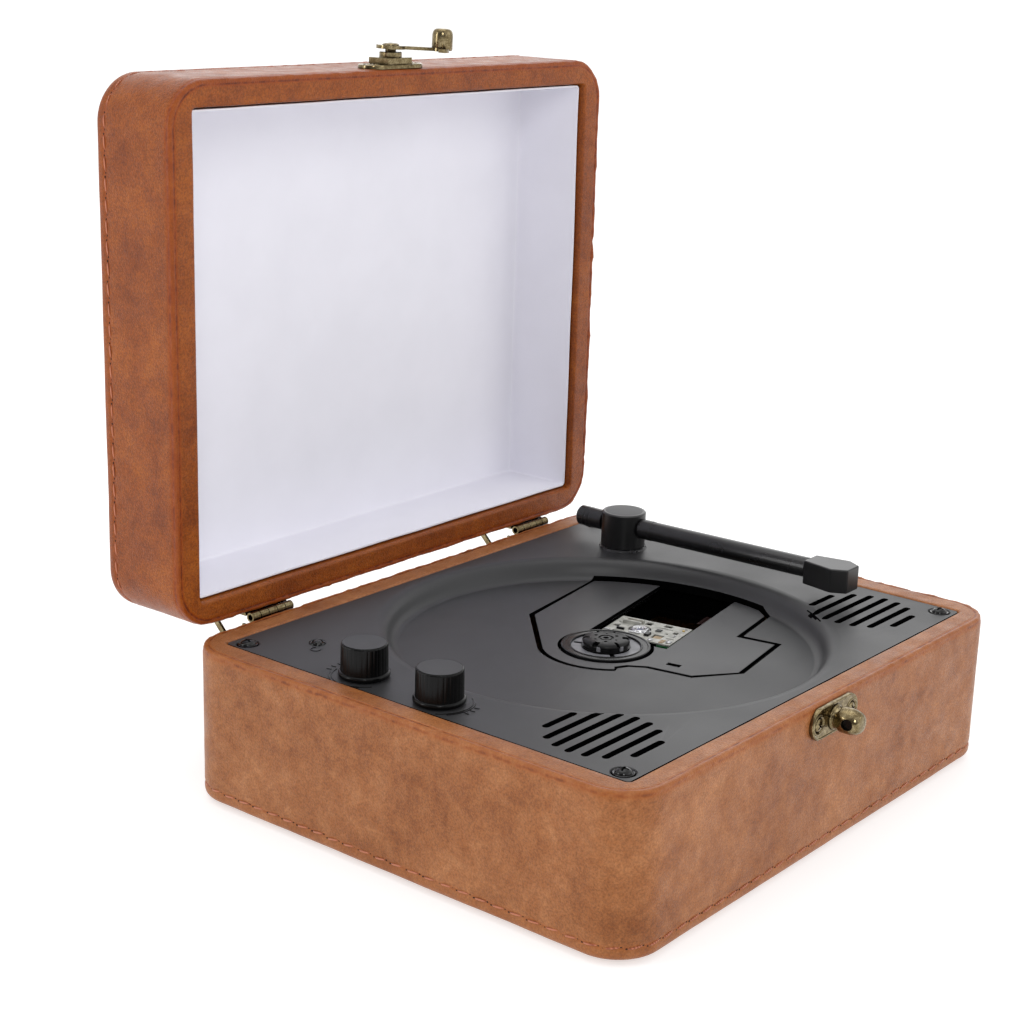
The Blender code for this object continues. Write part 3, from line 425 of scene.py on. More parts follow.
def thread():
    made = Shader("waxed_thread", srgb(172, 98, 62), 0.6, Sheen_Weight=0.2)
    twist = made.node("ShaderNodeTexWave", {"Vector": made.place, "Scale": 1 / (2.4 * MM), "Distortion": 1.5})
    made.set("Base Color", made.mix(twist.outputs["Fac"], srgb(138, 68, 38), srgb(184, 110, 76)))
    made.set("Normal", made.bump(twist.outputs["Fac"], 0.05))
    return made.material


def stitch_hole_shade():
    # Dark brown for the needle holes: painted shade inside them.
    made = Shader("stitch_hole_shade", srgb(52, 24, 14), 0.9)
    made.set("Base Color", made.ramp(made.noise(0.4), [(0.3, srgb(38, 18, 10)), (0.7, srgb(66, 32, 18))]))
    return made.material


def lining():
    """Matt white paper with a faint tooth and a cool cast."""
    made = Shader("lining_paper", srgb(234, 233, 241), 0.9)
    cloud = made.noise(22, 3.0)
    made.set("Base Color", made.ramp(cloud, [(0.3, srgb(232, 231, 239)), (0.7, srgb(236, 235, 243))]))
    fibres = made.noise(0.5, 4.0, 0.65)
    made.set("Normal", made.bump(fibres, 0.015, made.bump(made.noise(9, 2.0), 0.05)))
    return made.material


def fibreboard():
    made = Shader("fibreboard", srgb(150, 118, 84), 0.85)
    fibres = made.noise(1.2, 5.0, 0.7, 0.6)
    made.set("Base Color", made.ramp(fibres, [(0.3, srgb(118, 88, 58)), (0.7, srgb(170, 138, 102))]))
    made.set("Normal", made.bump(fibres, 0.06))
    return made.material


def moulded_black(name, shade_value, roughness, grain=0.012, specular=0.5):
    """Injection-moulded plastic with a spark-eroded grain and faint handling marks."""
    made = Shader(name, (shade_value, shade_value, shade_value * 1.06), roughness)
    made.bsdf.inputs["Specular IOR Level"].default_value = specular
    grit = made.noise(0.16, 2.0, 0.5)
    haze = made.noise(26, 3.0, 0.5)
    low = (shade_value * 0.86,) * 2 + (shade_value * 0.92,)
    high = (shade_value * 1.14,) * 2 + (shade_value * 1.22,)
    made.set("Base Color", made.ramp(haze, [(0.3, low), (0.7, high)]))
    made.set("Roughness", made.ramp(haze, [(0.3, roughness - 0.04), (0.7, roughness + 0.05)]))
    made.set("Normal", made.bump(grit, grain))
    return made.material


def antique_brass():
    """Brass under a grey-green patina, rubbed brighter in fine patches and dark in its recesses, from patina
    and painted shade together.
    """
    made = Shader("antique_brass", srgb(140, 130, 100), 0.24, 1.0)
    patches = made.noise(1.6, 5.0, 0.6, 0.4)
    fine = made.noise(0.4, 4.0, 0.6)
    tone = made.math("ADD", made.math("MULTIPLY", patches, 0.5), made.math("MULTIPLY", fine, 0.5))
    colour = made.ramp(tone,
                       [(0.34, srgb(82, 68, 44)), (0.50, srgb(122, 108, 78)), (0.66, srgb(164, 150, 118))])
    # Ambient occlusion darkens the recesses: dark patina together with painted shade.
    recess = made.node("ShaderNodeAmbientOcclusion", {"Distance": 1.6 * MM}, samples=8,
                       only_local=False).outputs["AO"]
    colour = made.mix(made.ramp(recess, [(0.35, 0.0), (0.9, 1.0)]), srgb(38, 30, 18), colour)
    made.set("Base Color", colour)
    made.set("Roughness", made.ramp(tone, [(0.36, 0.26), (0.64, 0.13)]))
    made.set("Normal", made.bump(fine, 0.008))
    return made.material


def metal(name, low, high, roughness, size=0.5, stretch=None):
    """Bright metal with fine machining marks."""
    made = Shader(name, high, roughness, 1.0)
    marks = made.noise(size, 3.0, 0.5, 0.0, stretch)
    made.set("Base Color", made.ramp(marks, [(0.3, low), (0.7, high)]))
    made.set("Roughness", made.ramp(marks, [(0.3, roughness - 0.05), (0.7, roughness + 0.08)]))
    made.set("Normal", made.bump(marks, 0.006))
    return made.material


def mottled(name, low, high, roughness, size=3.0, depth=0.01, metallic=0.0):
    """Any plain material with a slight tone change and a fine surface."""
    made = Shader(name, high, roughness, metallic)
    made.set("Base Color", made.ramp(made.noise(size, 4.0), [(0.3, low), (0.7, high)]))
    made.set("Normal", made.bump(made.noise(0.25, 2.0), depth))
    return made.material


LEATHER = leather("leather_tan", 0.0)
# The lid's leather is the same leather, darkened as painted shade.
LID_LEATHER_SHADED = leather("leather_tan_painted_shade", 1.0)
THREAD = thread()
HOLE = stitch_hole_shade()
LINING = lining()
BOARD = fibreboard()
PANEL_BLACK = moulded_black("panel_satin_black", 0.023, 0.44)
DECK_BLACK = moulded_black("deck_satin_black", 0.032, 0.42)
GLOSS_BLACK = moulded_black("gloss_black", 0.004, 0.22, 0.003, 0.24)
KNOB_SIDE = moulded_black("knob_side", 0.002, 0.22, 0.002, 0.17)
HUB_BLACK = moulded_black("hub_black", 0.004, 0.34, 0.006, 0.22)
SCREW_BLACK = moulded_black("screw_black", 0.002, 0.12, 0.001, 0.4)
ARM_BLACK = moulded_black("arm_matt_black", 0.008, 0.3, 0.006)
KNOB_TOP = moulded_black("knob_top", 0.030, 0.5, 0.008)
# Dead black for painted shade in gaps, holes and cut edges.
SHADOW_BLACK = moulded_black("painted_shade_black", 0.0015, 0.9, 0.01, 0.0)
BRASS = antique_brass()
BLACK_METAL = metal("black_screw", (0.010, 0.010, 0.011), (0.03, 0.03, 0.032), 0.3)
STEEL = metal("polished_steel", srgb(150, 150, 152), srgb(205, 205, 208), 0.22, 0.6, (1.0, 8.0, 1.0))
RUBBER = mottled("foot_rubber", srgb(20, 20, 21), srgb(34, 34, 35), 0.85)
PICKUP_GREY = mottled("pickup_plastic", srgb(134, 134, 127), srgb(184, 183, 176), 0.45, 2.4)
CIRCUIT = mottled("circuit_green", srgb(10, 58, 30), srgb(26, 92, 50), 0.35, 2.0)
GOLD = metal("contact_gold", srgb(150, 118, 50), srgb(212, 178, 96), 0.3)
RING_GREY = mottled("ring_grey", srgb(104, 104, 108), srgb(126, 126, 131), 0.4, 3.0)
CELL_WRAP = mottled("battery_wrap", srgb(20, 46, 120), srgb(34, 66, 150), 0.35)
CONE = mottled("speaker_paper", srgb(6, 6, 6), srgb(14, 14, 14), 0.95, 0.6, 0.04)
LENS = mottled("lens_glass", srgb(40, 44, 66), srgb(96, 104, 140), 0.05, 1.2, 0.002)
LAMP = mottled("lamp_dark", srgb(9, 9, 11), srgb(20, 20, 24), 0.12, 1.0, 0.002)
CABLE_RED = mottled("cable_red", srgb(28, 7, 5), srgb(44, 11, 8), 0.6, 1.0)
TAN = mottled("resin_tan", srgb(120, 98, 72), srgb(168, 146, 112), 0.5, 1.0)


# ---------------------------------------------------------------- leather covers and their seams
def cover_rings(width, depth, height, opening, stitch_up):
    """Rings of a leather cover, from inside its rim over the edge and down to its closed side.

    Each is (points, crease tone, lift): the crease tone colours the folds orange-brown and paints shade into
    their grooves, and the lift stands the ring out along its normals.
    """
    along = (86, 70)

    def inset(amount, z):
        corner = max(CORNER_R - amount, 0.6)
        return lifted(round_rect(width - 2 * amount, depth - 2 * amount, corner, 14, along), z)

    def mouth(grow, z):
        return lifted(round_rect(opening[0] + 2 * grow, opening[1] + 2 * grow, 1.4 + grow, 14, along), z)

    rings = [(mouth(0.0, height - drop), 0.0, 0.0) for drop in (8.0, 4.0, 1.2)]
    rings += [(mouth(0.9 - 0.9 * math.cos(a), height - 0.9 + 0.9 * math.sin(a)), 0.0, 0.0)
              for a in (0.4, 0.8, 1.2, math.pi / 2)]
    outer = inset(EDGE_R + 0.5, height)
    inner = mouth(0.9, height)
    rings += [([p.lerp(q, t) for p, q in zip(inner, outer)], 0.0, 0.0) for t in (0.2, 0.4, 0.6, 0.8, 1.0)]
    # The leather is turned over the edge and stands up there in an uneven bead with a groove inside it.
    # Its crease tone is orange-brown on the bead and darkest, as painted shade, in the grooves beside it.
    for degrees, tone, lift in ((92, 0.15, -0.03), (84, 0.75, -0.16), (77, 0.95, -0.12), (69, 0.5, 0.14),
                                (59, 0.4, 0.36), (48, 0.4, 0.42), (38, 0.5, 0.30), (28, 0.75, 0.06),
                                (18, 0.6, -0.08), (9, 0.3, -0.05), (0, 0.15, 0.0)):
        a = math.radians(min(degrees, 90))
        extra = 0.25 if degrees > 90 else 0.0
        rings.append((inset(EDGE_R + extra - EDGE_R * math.cos(a), height - EDGE_R + EDGE_R * math.sin(a)),
                      tone, lift))
    fold = height - EDGE_R
    low, high = stitch_up + 1.4, fold - 1.0
    count = max(3, round((high - low) / 3.0))
    rings += [(inset(0.0, high + (low - high) * i / count), 0.0, 0.0) for i in range(count + 1)]
    # The seam lies in a groove whose crease tone darkens towards its bottom: painted shade.
    rings += [(inset(0.0, stitch_up + rise), dark, -depth_in)
              for rise, depth_in, dark in ((0.9, 0.03, 0.1), (0.45, 0.13, 0.3), (0.0, 0.24, 0.5),
                                           (-0.45, 0.13, 0.3), (-0.9, 0.0, 0.1), (-1.3, -0.04, 0.1))]
    for step in range(0, 8):
        a = math.pi / 2 * step / 7
        rings.append((inset(EDGE_R - EDGE_R * math.cos(a), EDGE_R - EDGE_R * math.sin(a)), 0.2, 0.0))
    rings += [(inset(amount, 0.0), 0.0, 0.0) for amount in (5.0, 9.0, 13.0, 20.0, 30.0, 45.0, 60.0, 72.0)]
    return rings


def leather_cover(name, node, body, size, opening, stitch_up, matrix):
    """The leather over a box whose rim points along the matrix's Z, with slight unevenness."""
    rings = cover_rings(*size, opening, stitch_up)
    bm = loft([points for points, _, _ in rings], cap_start=False)
    tone = bm.verts.layers.float.new("crease")
    per_ring = len(rings[0][0])
    bm.verts.ensure_lookup_table()
    bm.normal_update()
    normals = [vertex.normal.copy() for vertex in bm.verts]
    # Each ring's crease tone goes to its vertices: fold colour, with painted shade in the grooves.
    for index, (_, dark, lift) in enumerate(rings):
        for at in range(index * per_ring, (index + 1) * per_ring):
            vertex = bm.verts[at]
            fine = noise.noise(vertex.co / 1.3 + Vector((5.2, 0.4, 2.2)))
            uneven = noise.noise(vertex.co / 3.1) + 0.7 * fine
            vertex[tone] = dark * (0.85 + 0.35 * noise.noise(vertex.co / 5.0))
            wave = noise.noise(vertex.co / 16.0 + Vector((3.1, 1.7, 0.4))) * 0.09
            wave += noise.noise(vertex.co / 5.0) * 0.03
            vertex.co += normals[at] * (wave + lift * (1.0 + 0.8 * uneven))
    # The lid's cover takes the shaded copy of the leather: painted shade.
    cover = piece(name, bm, body, LID_LEATHER_SHADED if body == "lid" else LEATHER, (node,), matrix)
    return shade(cover, 75)


def seam(name, body, size, stitch_up, matrix):
    """Thread stitches in a line round a cover, each a small slanted bulge between two needle holes, which are
    dark spots of painted shade.
    """
    width, depth, _ = size
    path = lifted(round_rect(width - 0.3, depth - 0.3, CORNER_R, 24, (60, 50)), stitch_up)
    lengths = [0.0]
    for here, there in zip(path, path[1:] + path[:1]):
        lengths.append(lengths[-1] + (there - here).length)
    total = lengths[-1]
    count = round(total / STITCH_PITCH)

    def at(distance):
        distance %= total
        index = next(i for i in range(len(path)) if lengths[i + 1] >= distance)
        here, there = path[index], path[(index + 1) % len(path)]
        along = (there - here).normalized()
        return here + along * (distance - lengths[index]), along

    threads, holes = bmesh.new(), bmesh.new()
    for number in range(count):
        start = number * total / count
        length = 4.3 + 0.25 * noise.noise(Vector((number * 1.7, 0.3, 0.9)))
        lean = 0.26 + 0.16 * noise.noise(Vector((number * 2.3, 4.1, 0.2)))
        rise = 0.22 * noise.noise(Vector((number * 0.9, 7.7, 1.2)))
        rows = []
        for step in range(7):
            t = step / 6
            point, along = at(start + length * t)
            out = Vector((along.y, -along.x, 0.0))
            bulge = 1 - (2 * t - 1) ** 4
            core = point + out * (0.26 * bulge - 0.2) + Vector((0, 0, rise + lean * (2 * t - 1)))
            radius = 0.08 + 0.2 * bulge
            rows.append([threads.verts.new(core + (out * math.cos(a) + Vector((0, 0, math.sin(a)))) * radius)
                         for a in (math.tau * i / 8 for i in range(8))])
        for upper, lower in zip(rows, rows[1:]):
            for i in range(8):
                threads.faces.new((upper[i], upper[(i + 1) % 8], lower[(i + 1) % 8], lower[i]))
        threads.faces.new(rows[0])
        threads.faces.new(rows[-1])
        # Flat dark spots at the stitch ends stand for the shade inside the needle holes: painted shade.
        for t, sign in ((-0.05, -1), (1.05, 1)):
            point, along = at(start + length * t)
            out = Vector((along.y, -along.x, 0.0))
            turn = Matrix((along, Vector((0, 0, 1)), out)).transposed().to_4x4()
            spot = Matrix.Translation(point + out * -0.07 + Vector((0, 0, rise + lean * sign)))
            bmesh.ops.create_uvsphere(holes, u_segments=10, v_segments=6, radius=1.0,
                                      matrix=spot @ turn @ Matrix.Diagonal((0.34, 0.26, 0.14, 1.0)))
    bmesh.ops.recalc_face_normals(threads, faces=threads.faces)
    shade(piece(name + "_thread", threads, body, THREAD, (), matrix), 70)
    shade(piece(name + "_holes", holes, body, HOLE, (), matrix), 70)


def covers():
    low, high = cad("case_leather")
    size = (high.x - low.x, high.y - low.y, high.z - low.z)
    upright = Matrix.Translation(((low.x + high.x) / 2, (low.y + high.y) / 2, low.z))
    leather_cover("case_cover", "case_leather", "case", size, CASE_OPENING, CASE_STITCH_UP, upright)
    seam("case_seam", "case", size, CASE_STITCH_UP, upright)
    low, high = cad("lid_leather")
    size = (high.x - low.x, high.z - low.z, high.y - low.y)
    back = Matrix.Translation(((low.x + high.x) / 2, high.y, (low.z + high.z) / 2))
    back = back @ Matrix.Rotation(math.pi / 2, 4, "X")
    leather_cover("lid_cover", "lid_leather", "lid", size, LID_OPENING, LID_STITCH_UP, back)
    seam("lid_seam", "lid", size, LID_STITCH_UP, back)


# ---------------------------------------------------------------- lining
def lid_lining():
    """One sheet of thick paper folded into a tray, its mouth a little uneven."""
    low, high = cad("lid_liner")
    sheet, fold = 0.6, 1.5
    wide, tall = high.x - low.x - 0.6, high.z - low.z - 0.6
    deep = high.y - low.y - 1.0
    along = (40, 32)

    def ring(amount, z, radius):
        return lifted(round_rect(wide - 2 * amount, tall - 2 * amount, max(radius, 0.5), 6, along), z)

    rings = [ring(0.0, deep - (deep - fold) * i / 10, fold) for i in range(11)]
    rings += [ring(fold - fold * math.cos(a), fold - fold * math.sin(a), fold)
              for a in (math.pi / 2 * i / 5 for i in range(1, 6))]
    rings += [ring(amount, 0.0, 0.6) for amount in (4.0, 9.0, 16.0, 25.0, 35.0, 46.0, 58.0)]
    bm = loft(rings, cap_start=False)
    bm.normal_update()
    for vertex in bm.verts:
        lift = 0.14 * noise.noise(vertex.co / 24.0 + Vector((2.0, 0.7, 5.0)))
        if vertex.co.z > deep - 0.01:
            vertex.co.z += 0.35 * noise.noise(vertex.co / 21.0)
        vertex.co += vertex.normal * lift
    mouth_out = Matrix.Translation(((low.x + high.x) / 2, high.y - 0.1, (low.z + high.z) / 2))
    made = piece("lining_tray", bm, "lid", LINING, ("lid_liner",),
                 mouth_out @ Matrix.Rotation(math.pi / 2, 4, "X"))
    made.data.shade_smooth()
    solid = made.modifiers.new("thickness", "SOLIDIFY")
    solid.thickness = sheet * MM
    solid.offset = -1.0
    settle(made)
    return soften(made, 0.1, 2, 60)


# ---------------------------------------------------------------- panel
def deck_outline(edge):
    """The deck's hole in the deck's own frame; a negative edge gives the plate that lies in it."""
    return [(1.4, -45.2 - edge), (32.0 + edge, -45.2 - edge), (32.0 + edge, -32.3 - edge),
            (54.5 + edge / 2, -32.3 - edge), *arc((0, 0), 65.6 + edge, -25, 30, 28),
            (13.0 - edge * 0.4, 34.0 + edge), *arc((0, 0), DECK_ARC_R + edge, 128, 214, 36),
            (-15.4 - edge * 0.5, -11.6 - edge * 0.85), (-12.4 - edge * 0.6, -13.9 - edge * 0.8),
            (-10.4 - edge, -18.6), (-10.4 - edge, -33.4 - edge * 0.4)]


def slot_cutters(top):
    for centre_x, centre_y in SPEAKER_SPOTS.values():
        for row in range(-3, 4):
            y = centre_y + row * SLOT_PITCH
            r = SLOT_W / 2
            half = math.sqrt(SLOT_FIELD_R ** 2 - (row * SLOT_PITCH) ** 2) - r
            outline = arc((centre_x + half, y), r, -90, 90, 8) + arc((centre_x - half, y), r, 90, 270, 8)
            yield plate(outline, top - 6, top + 3)


def player_panel():
    """The moulded panel: a flat top that rolls over into the round disc well."""
    low, high = cad("top_panel")
    top = high.z - ARM_BOSS
    outline = round_rect(high.x - low.x, high.y - low.y, 1.5, 4)
    solid = plate(outline, top - PANEL_T, top)
    arm = middle("tonearm_turret")
    boss = turned([(0, top + 0.6), (7.6, top + 0.6), (8.0, top + 0.45), (8.25, top), (8.25, top - 1),
                   (0, top - 1)],
                  (arm.x, arm.y), 64)
    wall = bar((0, 0, low.z), (0, 0, top - 1), WELL_WALL_R, 160)
    solid = carve(solid, wall, boss, operation="UNION")
    roll = smooth_curve([(71.6, 0.0), (70.0, -0.2), (68.6, -0.8), (67.4, -2.0), (66.6, -3.4), (65.9, -4.6),
                         (64.9, -5.6), (WELL_FLOOR_R + 0.6, -WELL_DEPTH)], 3)
    well = turned([(0, top + 6), (71.6, top + 6)] + [(r, top + z) for r, z in roll] + [(0, top - WELL_DEPTH)],
                  segments=160)
    hole = moved(plate(deck_outline(0), top - 20, top + 5), DECK_TURN)
    tools = [well, hole, *slot_cutters(top)]
    screws = [(f"panel_screw_{number}", 1.8) for number in range(1, 5)]
    for node, radius in (("volume_shaft", 3.3), ("mode_shaft", 3.3), ("tonearm_turret", 3.4), *screws):
        spot = middle(node)
        tools.append(bar((spot.x, spot.y, top - 6), (spot.x, spot.y, top + 3), radius, 32))
    for node, _ in screws:
        spot = middle(node)
        tools.append(turned([(0, top + 2), (SCREW_SEAT_R + 0.5, top + 2), (SCREW_SEAT_R + 0.5, top),
                             (SCREW_SEAT_R, top - 0.4), (SCREW_SEAT_R, top - SCREW_SEAT),
                             (0, top - SCREW_SEAT)],
                            (spot.x, spot.y), 48))
    solid = carve(solid, *tools)
    panel = piece("player_panel", solid, "case", PANEL_BLACK, ("top_panel",))
    soften(panel, 0.22, 2, 38)
    weigh_normals(panel, 42)
    half_w, half_d = (high.x - low.x) / 2, (high.y - low.y) / 2
    corners = [middle(node) for node, _ in screws]

    # Painted shade: the panel's border beside the leather, the lower walls of the well and of the deck's
    # hole, the speaker slots and the screw seats turn dead black.
    def unlit(centre, normal):
        x, y, z = centre / MM
        if abs(x) > half_w - 0.25 or abs(y) > half_d - 0.25:
            return True
        if abs(normal.z) < 0.2 and math.hypot(x, y) < 66.6 and z < top - 1.5:
            return True
        if any(math.hypot(x - sx, y - sy) < SLOT_FIELD_R + 1 for sx, sy in SPEAKER_SPOTS.values()):
            return abs(normal.z) < 0.2 or z < top - 0.5
        return z < top - 0.3 and any(math.hypot(x - c.x, y - c.y) < SCREW_SEAT_R + 0.7 for c in corners)

    paint_shade_black(panel, unlit)
    level_normals(panel)
    return top


def level_normals(obj):
    """Makes every flat, level face shade as truly flat, out to its corners."""
    mesh = obj.data
    normals = [corner.vector.copy() for corner in mesh.corner_normals]
    for face in mesh.polygons:
        if abs(face.normal.z) > 0.9999:
            for corner in face.loop_indices:
                normals[corner] = face.normal.copy()
    mesh.normals_split_custom_set(normals)


def paint_shade_black(obj, chosen):
    """Paints the chosen faces, such as cut edges that light never reaches, dead black as painted shade."""
    obj.data.materials.append(SHADOW_BLACK)
    for face in obj.data.polygons:
        if chosen(face.center, face.normal):
            face.material_index = 1


def raised_mark(name, outlines, top):
    """Low moulded marks on the panel, each a closed outline."""
    marks = gathered([plate(outline, top - 0.1, top + 0.22) for outline in outlines])
    soften(piece(name, marks, "case", GLOSS_BLACK), 0.06, 2, 50)


def arc_mark(centre, radius, width, start, end, steps=20):
    outside = arc(centre, radius + width / 2, start, end, steps)
    return outside + arc(centre, radius - width / 2, end, start, steps)


def knob_scales(top):
    """A raised arc with ticks beside each knob, and the lamp."""
    for node, ends, first_tick in (("volume", (100, 236), 82), ("mode", (214, 326), 262)):
        spot = middle(node + "_knob")
        centre = (spot.x, spot.y)
        start, end = ends
        marks = [arc_mark(centre, 9.4, 0.3, start, end), arc_mark(centre, 10.1, 0.3, start + 18, end - 22)]
        for tick in range(3):
            angle = first_tick + 12 * tick
            marks.append(arc_mark(centre, 11.3, 1.5, angle - 1.2, angle + 1.2, 2))
        raised_mark(node + "_scale", marks, top)
    bezel = turned([(0, top + 0.1), (1.55, top + 0.1), (1.65, top + 0.5), (2.1, top + 0.6),
                    (2.45, top + 0.4), (2.6, top), (0, top)], LAMP_SPOT, 40)
    notches = []
    for number in range(10):
        turn = Matrix.Translation((*LAMP_SPOT, 0)) @ Matrix.Rotation(math.tau * number / 10, 4, "Z")
        notches.append(moved(block((1.9, 3.2), (-0.22, 0.22), (top + 0.2, top + 1.0)), turn))
    bezel = carve(bezel, *notches)
    shade(piece("lamp_bezel", bezel, "case", SCREW_BLACK), 30)
    dome = turned([(0, top + 0.95), (0.5, top + 0.9), (1.0, top + 0.72), (1.35, top + 0.4), (1.45, top),
                   (0, top)], LAMP_SPOT, 32)
    shade(piece("lamp_dome", dome, "case", LAMP), 60)
    raised_mark("lamp_sign", [arc_mark(LAMP_SIGN_SPOT, 1.5, 0.35, 40, 320)], top)


def cross_screw(name, node, body, mat, radius, height, centre, axis_matrix):
    """A domed screw head with a tapered cross recess; its seat is at the matrix's origin."""
    dome = [(0.0, height)]
    dome += [(radius * math.sin(a), height * 0.25 + height * 0.75 * math.cos(a)) for a in
             (math.radians(d) for d in (15, 30, 45, 60, 75, 90))]
    dome += [(radius * 0.97, 0.0), (0.0, 0.0)]
    head = turned(dome, segments=40)
    reach, wide = radius * 0.62, radius * 0.13
    deep = height * 0.6
    cutters = [block((-reach, reach), (-wide, wide), (height - deep, height + 1)),
               block((-wide, wide), (-reach, reach), (height - deep, height + 1)),
               bar((0, 0, height - deep), (0, 0, height + 0.3), radius * 0.16, 16, radius * 0.34)]
    head = carve(head, *cutters)
    turn = Matrix.Rotation(0.6 * len(name) + centre, 4, "Z")
    made = piece(name, head, body, mat, (node,), axis_matrix @ turn)
    return shade(made, 35)


def panel_screws(top):
    for number in range(1, 5):
        node = f"panel_screw_{number}"
        spot = middle(node)
        seat = Matrix.Translation((spot.x, spot.y, top - SCREW_SEAT + 0.45))
        cross_screw(f"corner_screw_{number}", node, "case", SCREW_BLACK, 2.35, 1.8, number * 1.3, seat)
        flange = turned([(0, 0.55), (2.2, 0.55), (2.4, 0.5), (2.75, 0.6), (2.95, 0.5), (3.0, 0.2),
                         (0, 0.0)], segments=48)
        shade(piece(f"corner_flange_{number}", flange, "case", SCREW_BLACK, (), seat), 30)


def fluted(radius, depth, flutes, per_flute=8):
    """A knob's outline: rounded lands with narrow grooves between them."""
    points = []
    for i in range(flutes * per_flute):
        angle = math.tau * i / (flutes * per_flute)
        phase = (i % per_flute) / per_flute
        dip = max(0.0, math.cos(math.tau * phase)) ** 3
        points.append((angle, radius - depth * dip))
    return points


def knobs():
    for name in ("volume", "mode"):
        low, high = cad(name + "_knob")
        x, y = (low.x + high.x) / 2, (low.y + high.y) / 2
        tall = high.z - low.z
        outline = fluted(6.85, 0.13, 28)

        def ring(scale, z, flat=0.0):
            sizes = [(a, (r * (1 - flat) + 6.6 * flat) * scale) for a, r in outline]
            return [Vector((r * math.cos(a), r * math.sin(a), z)) for a, r in sizes]

        rows = [ring(1.01, 0.9), ring(1.0, 2.0), ring(0.985, tall - 0.7), ring(0.98, tall - 0.35),
                ring(0.965, tall - 0.12, 0.3), ring(0.94, tall, 0.6)]
        body = loft(rows, cap_start=True, cap_end=False)
        place = Matrix.Translation((x, y, low.z))
        cap = piece(f"{name}_cap", body, f"{name}_knob", KNOB_SIDE, (f"{name}_knob",), place)
        shade(cap, 50)
        lid = turned([(0, tall - 0.04), (5.4, tall - 0.04), (6.05, tall + 0.0), (6.25, tall - 0.02),
                      (6.3, tall - 0.5), (0, tall - 0.6)], segments=96)
        shade(piece(f"{name}_cap_face", lid, f"{name}_knob", KNOB_TOP, (), place), 30)
        skirt = turned([(0, 1.5), (6.9, 1.5), (7.25, 1.35), (7.5, 1.0), (7.5, 0.35), (7.3, 0.05), (0, 0)],
                       segments=96)
        shade(piece(f"{name}_skirt", skirt, f"{name}_knob", KNOB_SIDE, (), place), 40)


# ---------------------------------------------------------------- disc mechanism
def deck(top):
    floor = top - WELL_DEPTH
    solid = plate(deck_outline(-DECK_GAP), floor - DECK_T, floor)
    x, y = SENSOR_HOLE
    solid = carve(solid,
                  block((8, 75), SLED_SLOT, (floor - 5, floor + 5)),
                  block((0, 12), (-11.5, SLED_SLOT[1] - 0.03), (floor - 5.1, floor + 5.1)),
                  bar((0, 0, floor - 5), (0, 0, floor + 5), 14.85, 96),
                  block((x - 1.0, x + 1.0), (y - 2.2, y + 2.2), (floor - 5, floor + 5)))
    cover = soften(piece("deck_cover", solid, "case", DECK_BLACK, ("deck_plate",), DECK_TURN), 0.12, 2, 38)
    # The plate's cut sides are dead black: painted shade in the gap round it and in its openings.
    paint_shade_black(cover, lambda centre, normal: abs(normal.z) < 0.3)
    level_normals(cover)
    strands = [block((58.0, 66.0), (-15.5 + 1.3 * strand, -14.4 + 1.3 * strand), (floor - 8.95, floor - 8.65))
               for strand in range(8)]
    soften(piece("ribbon_cable", gathered(strands), "case", CABLE_RED, (), DECK_TURN), 0.15, 2, 40)


def turntable_ring():
    """A black ring with a lip at each edge round a grey floor, which has three slots."""
    low, high = cad("turntable")
    top = high.z
    profile = [(0, top - 1.0), (10.75, top - 1.0), (10.85, top - 0.1), (11.0, top), (11.3, top),
               (11.5, top - 0.22), (12.9, top - 0.22), (13.1, top), (13.5, top), (13.8, top - 0.15),
               (13.85, top - 0.4), (13.85, top - 1.4), (9.0, top - 1.8), (9.0, low.z + 5), (1.2, low.z + 5),
               (1.2, low.z), (0, low.z)]
    ring = piece("turntable_disc", turned(profile, segments=128), "turntable", GLOSS_BLACK, ("turntable",))
    shade(ring, 25)
    floor = turned([(7.6, top - 0.62), (10.7, top - 0.62), (10.7, top - 0.9), (7.6, top - 0.9),
                    (7.6, top - 0.62)],
                   segments=96)
    bmesh.ops.remove_doubles(floor, verts=floor.verts, dist=0.0001)
    slots = []
    for number in range(3):
        angle = math.radians(110 + 120 * number)
        slot = plate(arc((9.7, 0), 0.75, -90, 90, 8) + arc((6.8, 0), 0.75, 90, 270, 8), top - 2, top + 2)
        slots.append(moved(slot, Matrix.Rotation(angle, 4, "Z")))
    soften(piece("turntable_floor", carve(floor, *slots), "turntable", RING_GREY), 0.06, 2, 40)


def disc_hub():
    """The clawed hub: a notched cap on a drum, with six small claws round its side."""
    low, high = cad("disc_hub")
    base, top = low.z, high.z
    body = turned([(0, top - 0.9), (0.85, top - 0.9), (0.9, top - 0.05), (1.7, top - 0.05),
                   (1.8, top - 0.35), (2.3, top - 0.35), (2.4, top), (6.2, top), (6.9, top - 0.25),
                   (7.3, top - 0.7), (7.35, top - 1.2), (6.9, top - 1.3), (6.9, base + 0.35),
                   (7.45, base + 0.2), (7.45, base), (0, base)], segments=96)
    cutters = []
    for number in range(6):
        turn = Matrix.Rotation(math.radians(60 * number + 8), 4, "Z")
        wide = 0.95 if number % 2 else 0.5
        notch = block((5.0, 9.0), (-wide, wide), (top - 1.1, top + 1))
        window = bar((3.7, 0, top - 1.2), (3.7, 0, top + 1), 0.6 if number % 2 else 0.4, 20)
        cutters += [moved(notch, turn), moved(window, turn @ Matrix.Rotation(math.radians(26), 4, "Z"))]
    body = carve(body, *cutters)
    soften(piece("hub_body", body, "turntable", HUB_BLACK, ("disc_hub",)), 0.08, 2, 40)
    for number in range(6):
        angle = math.radians(60 * number + 18)
        claw = block((6.6, 7.45), (-0.62, 0.62), (base + 0.25, base + 1.75))
        turn = Matrix.Rotation(angle, 4, "Z")
        soften(piece(f"hub_claw_{number + 1}", claw, "turntable", RING_GREY, (), turn), 0.18, 3, 40)


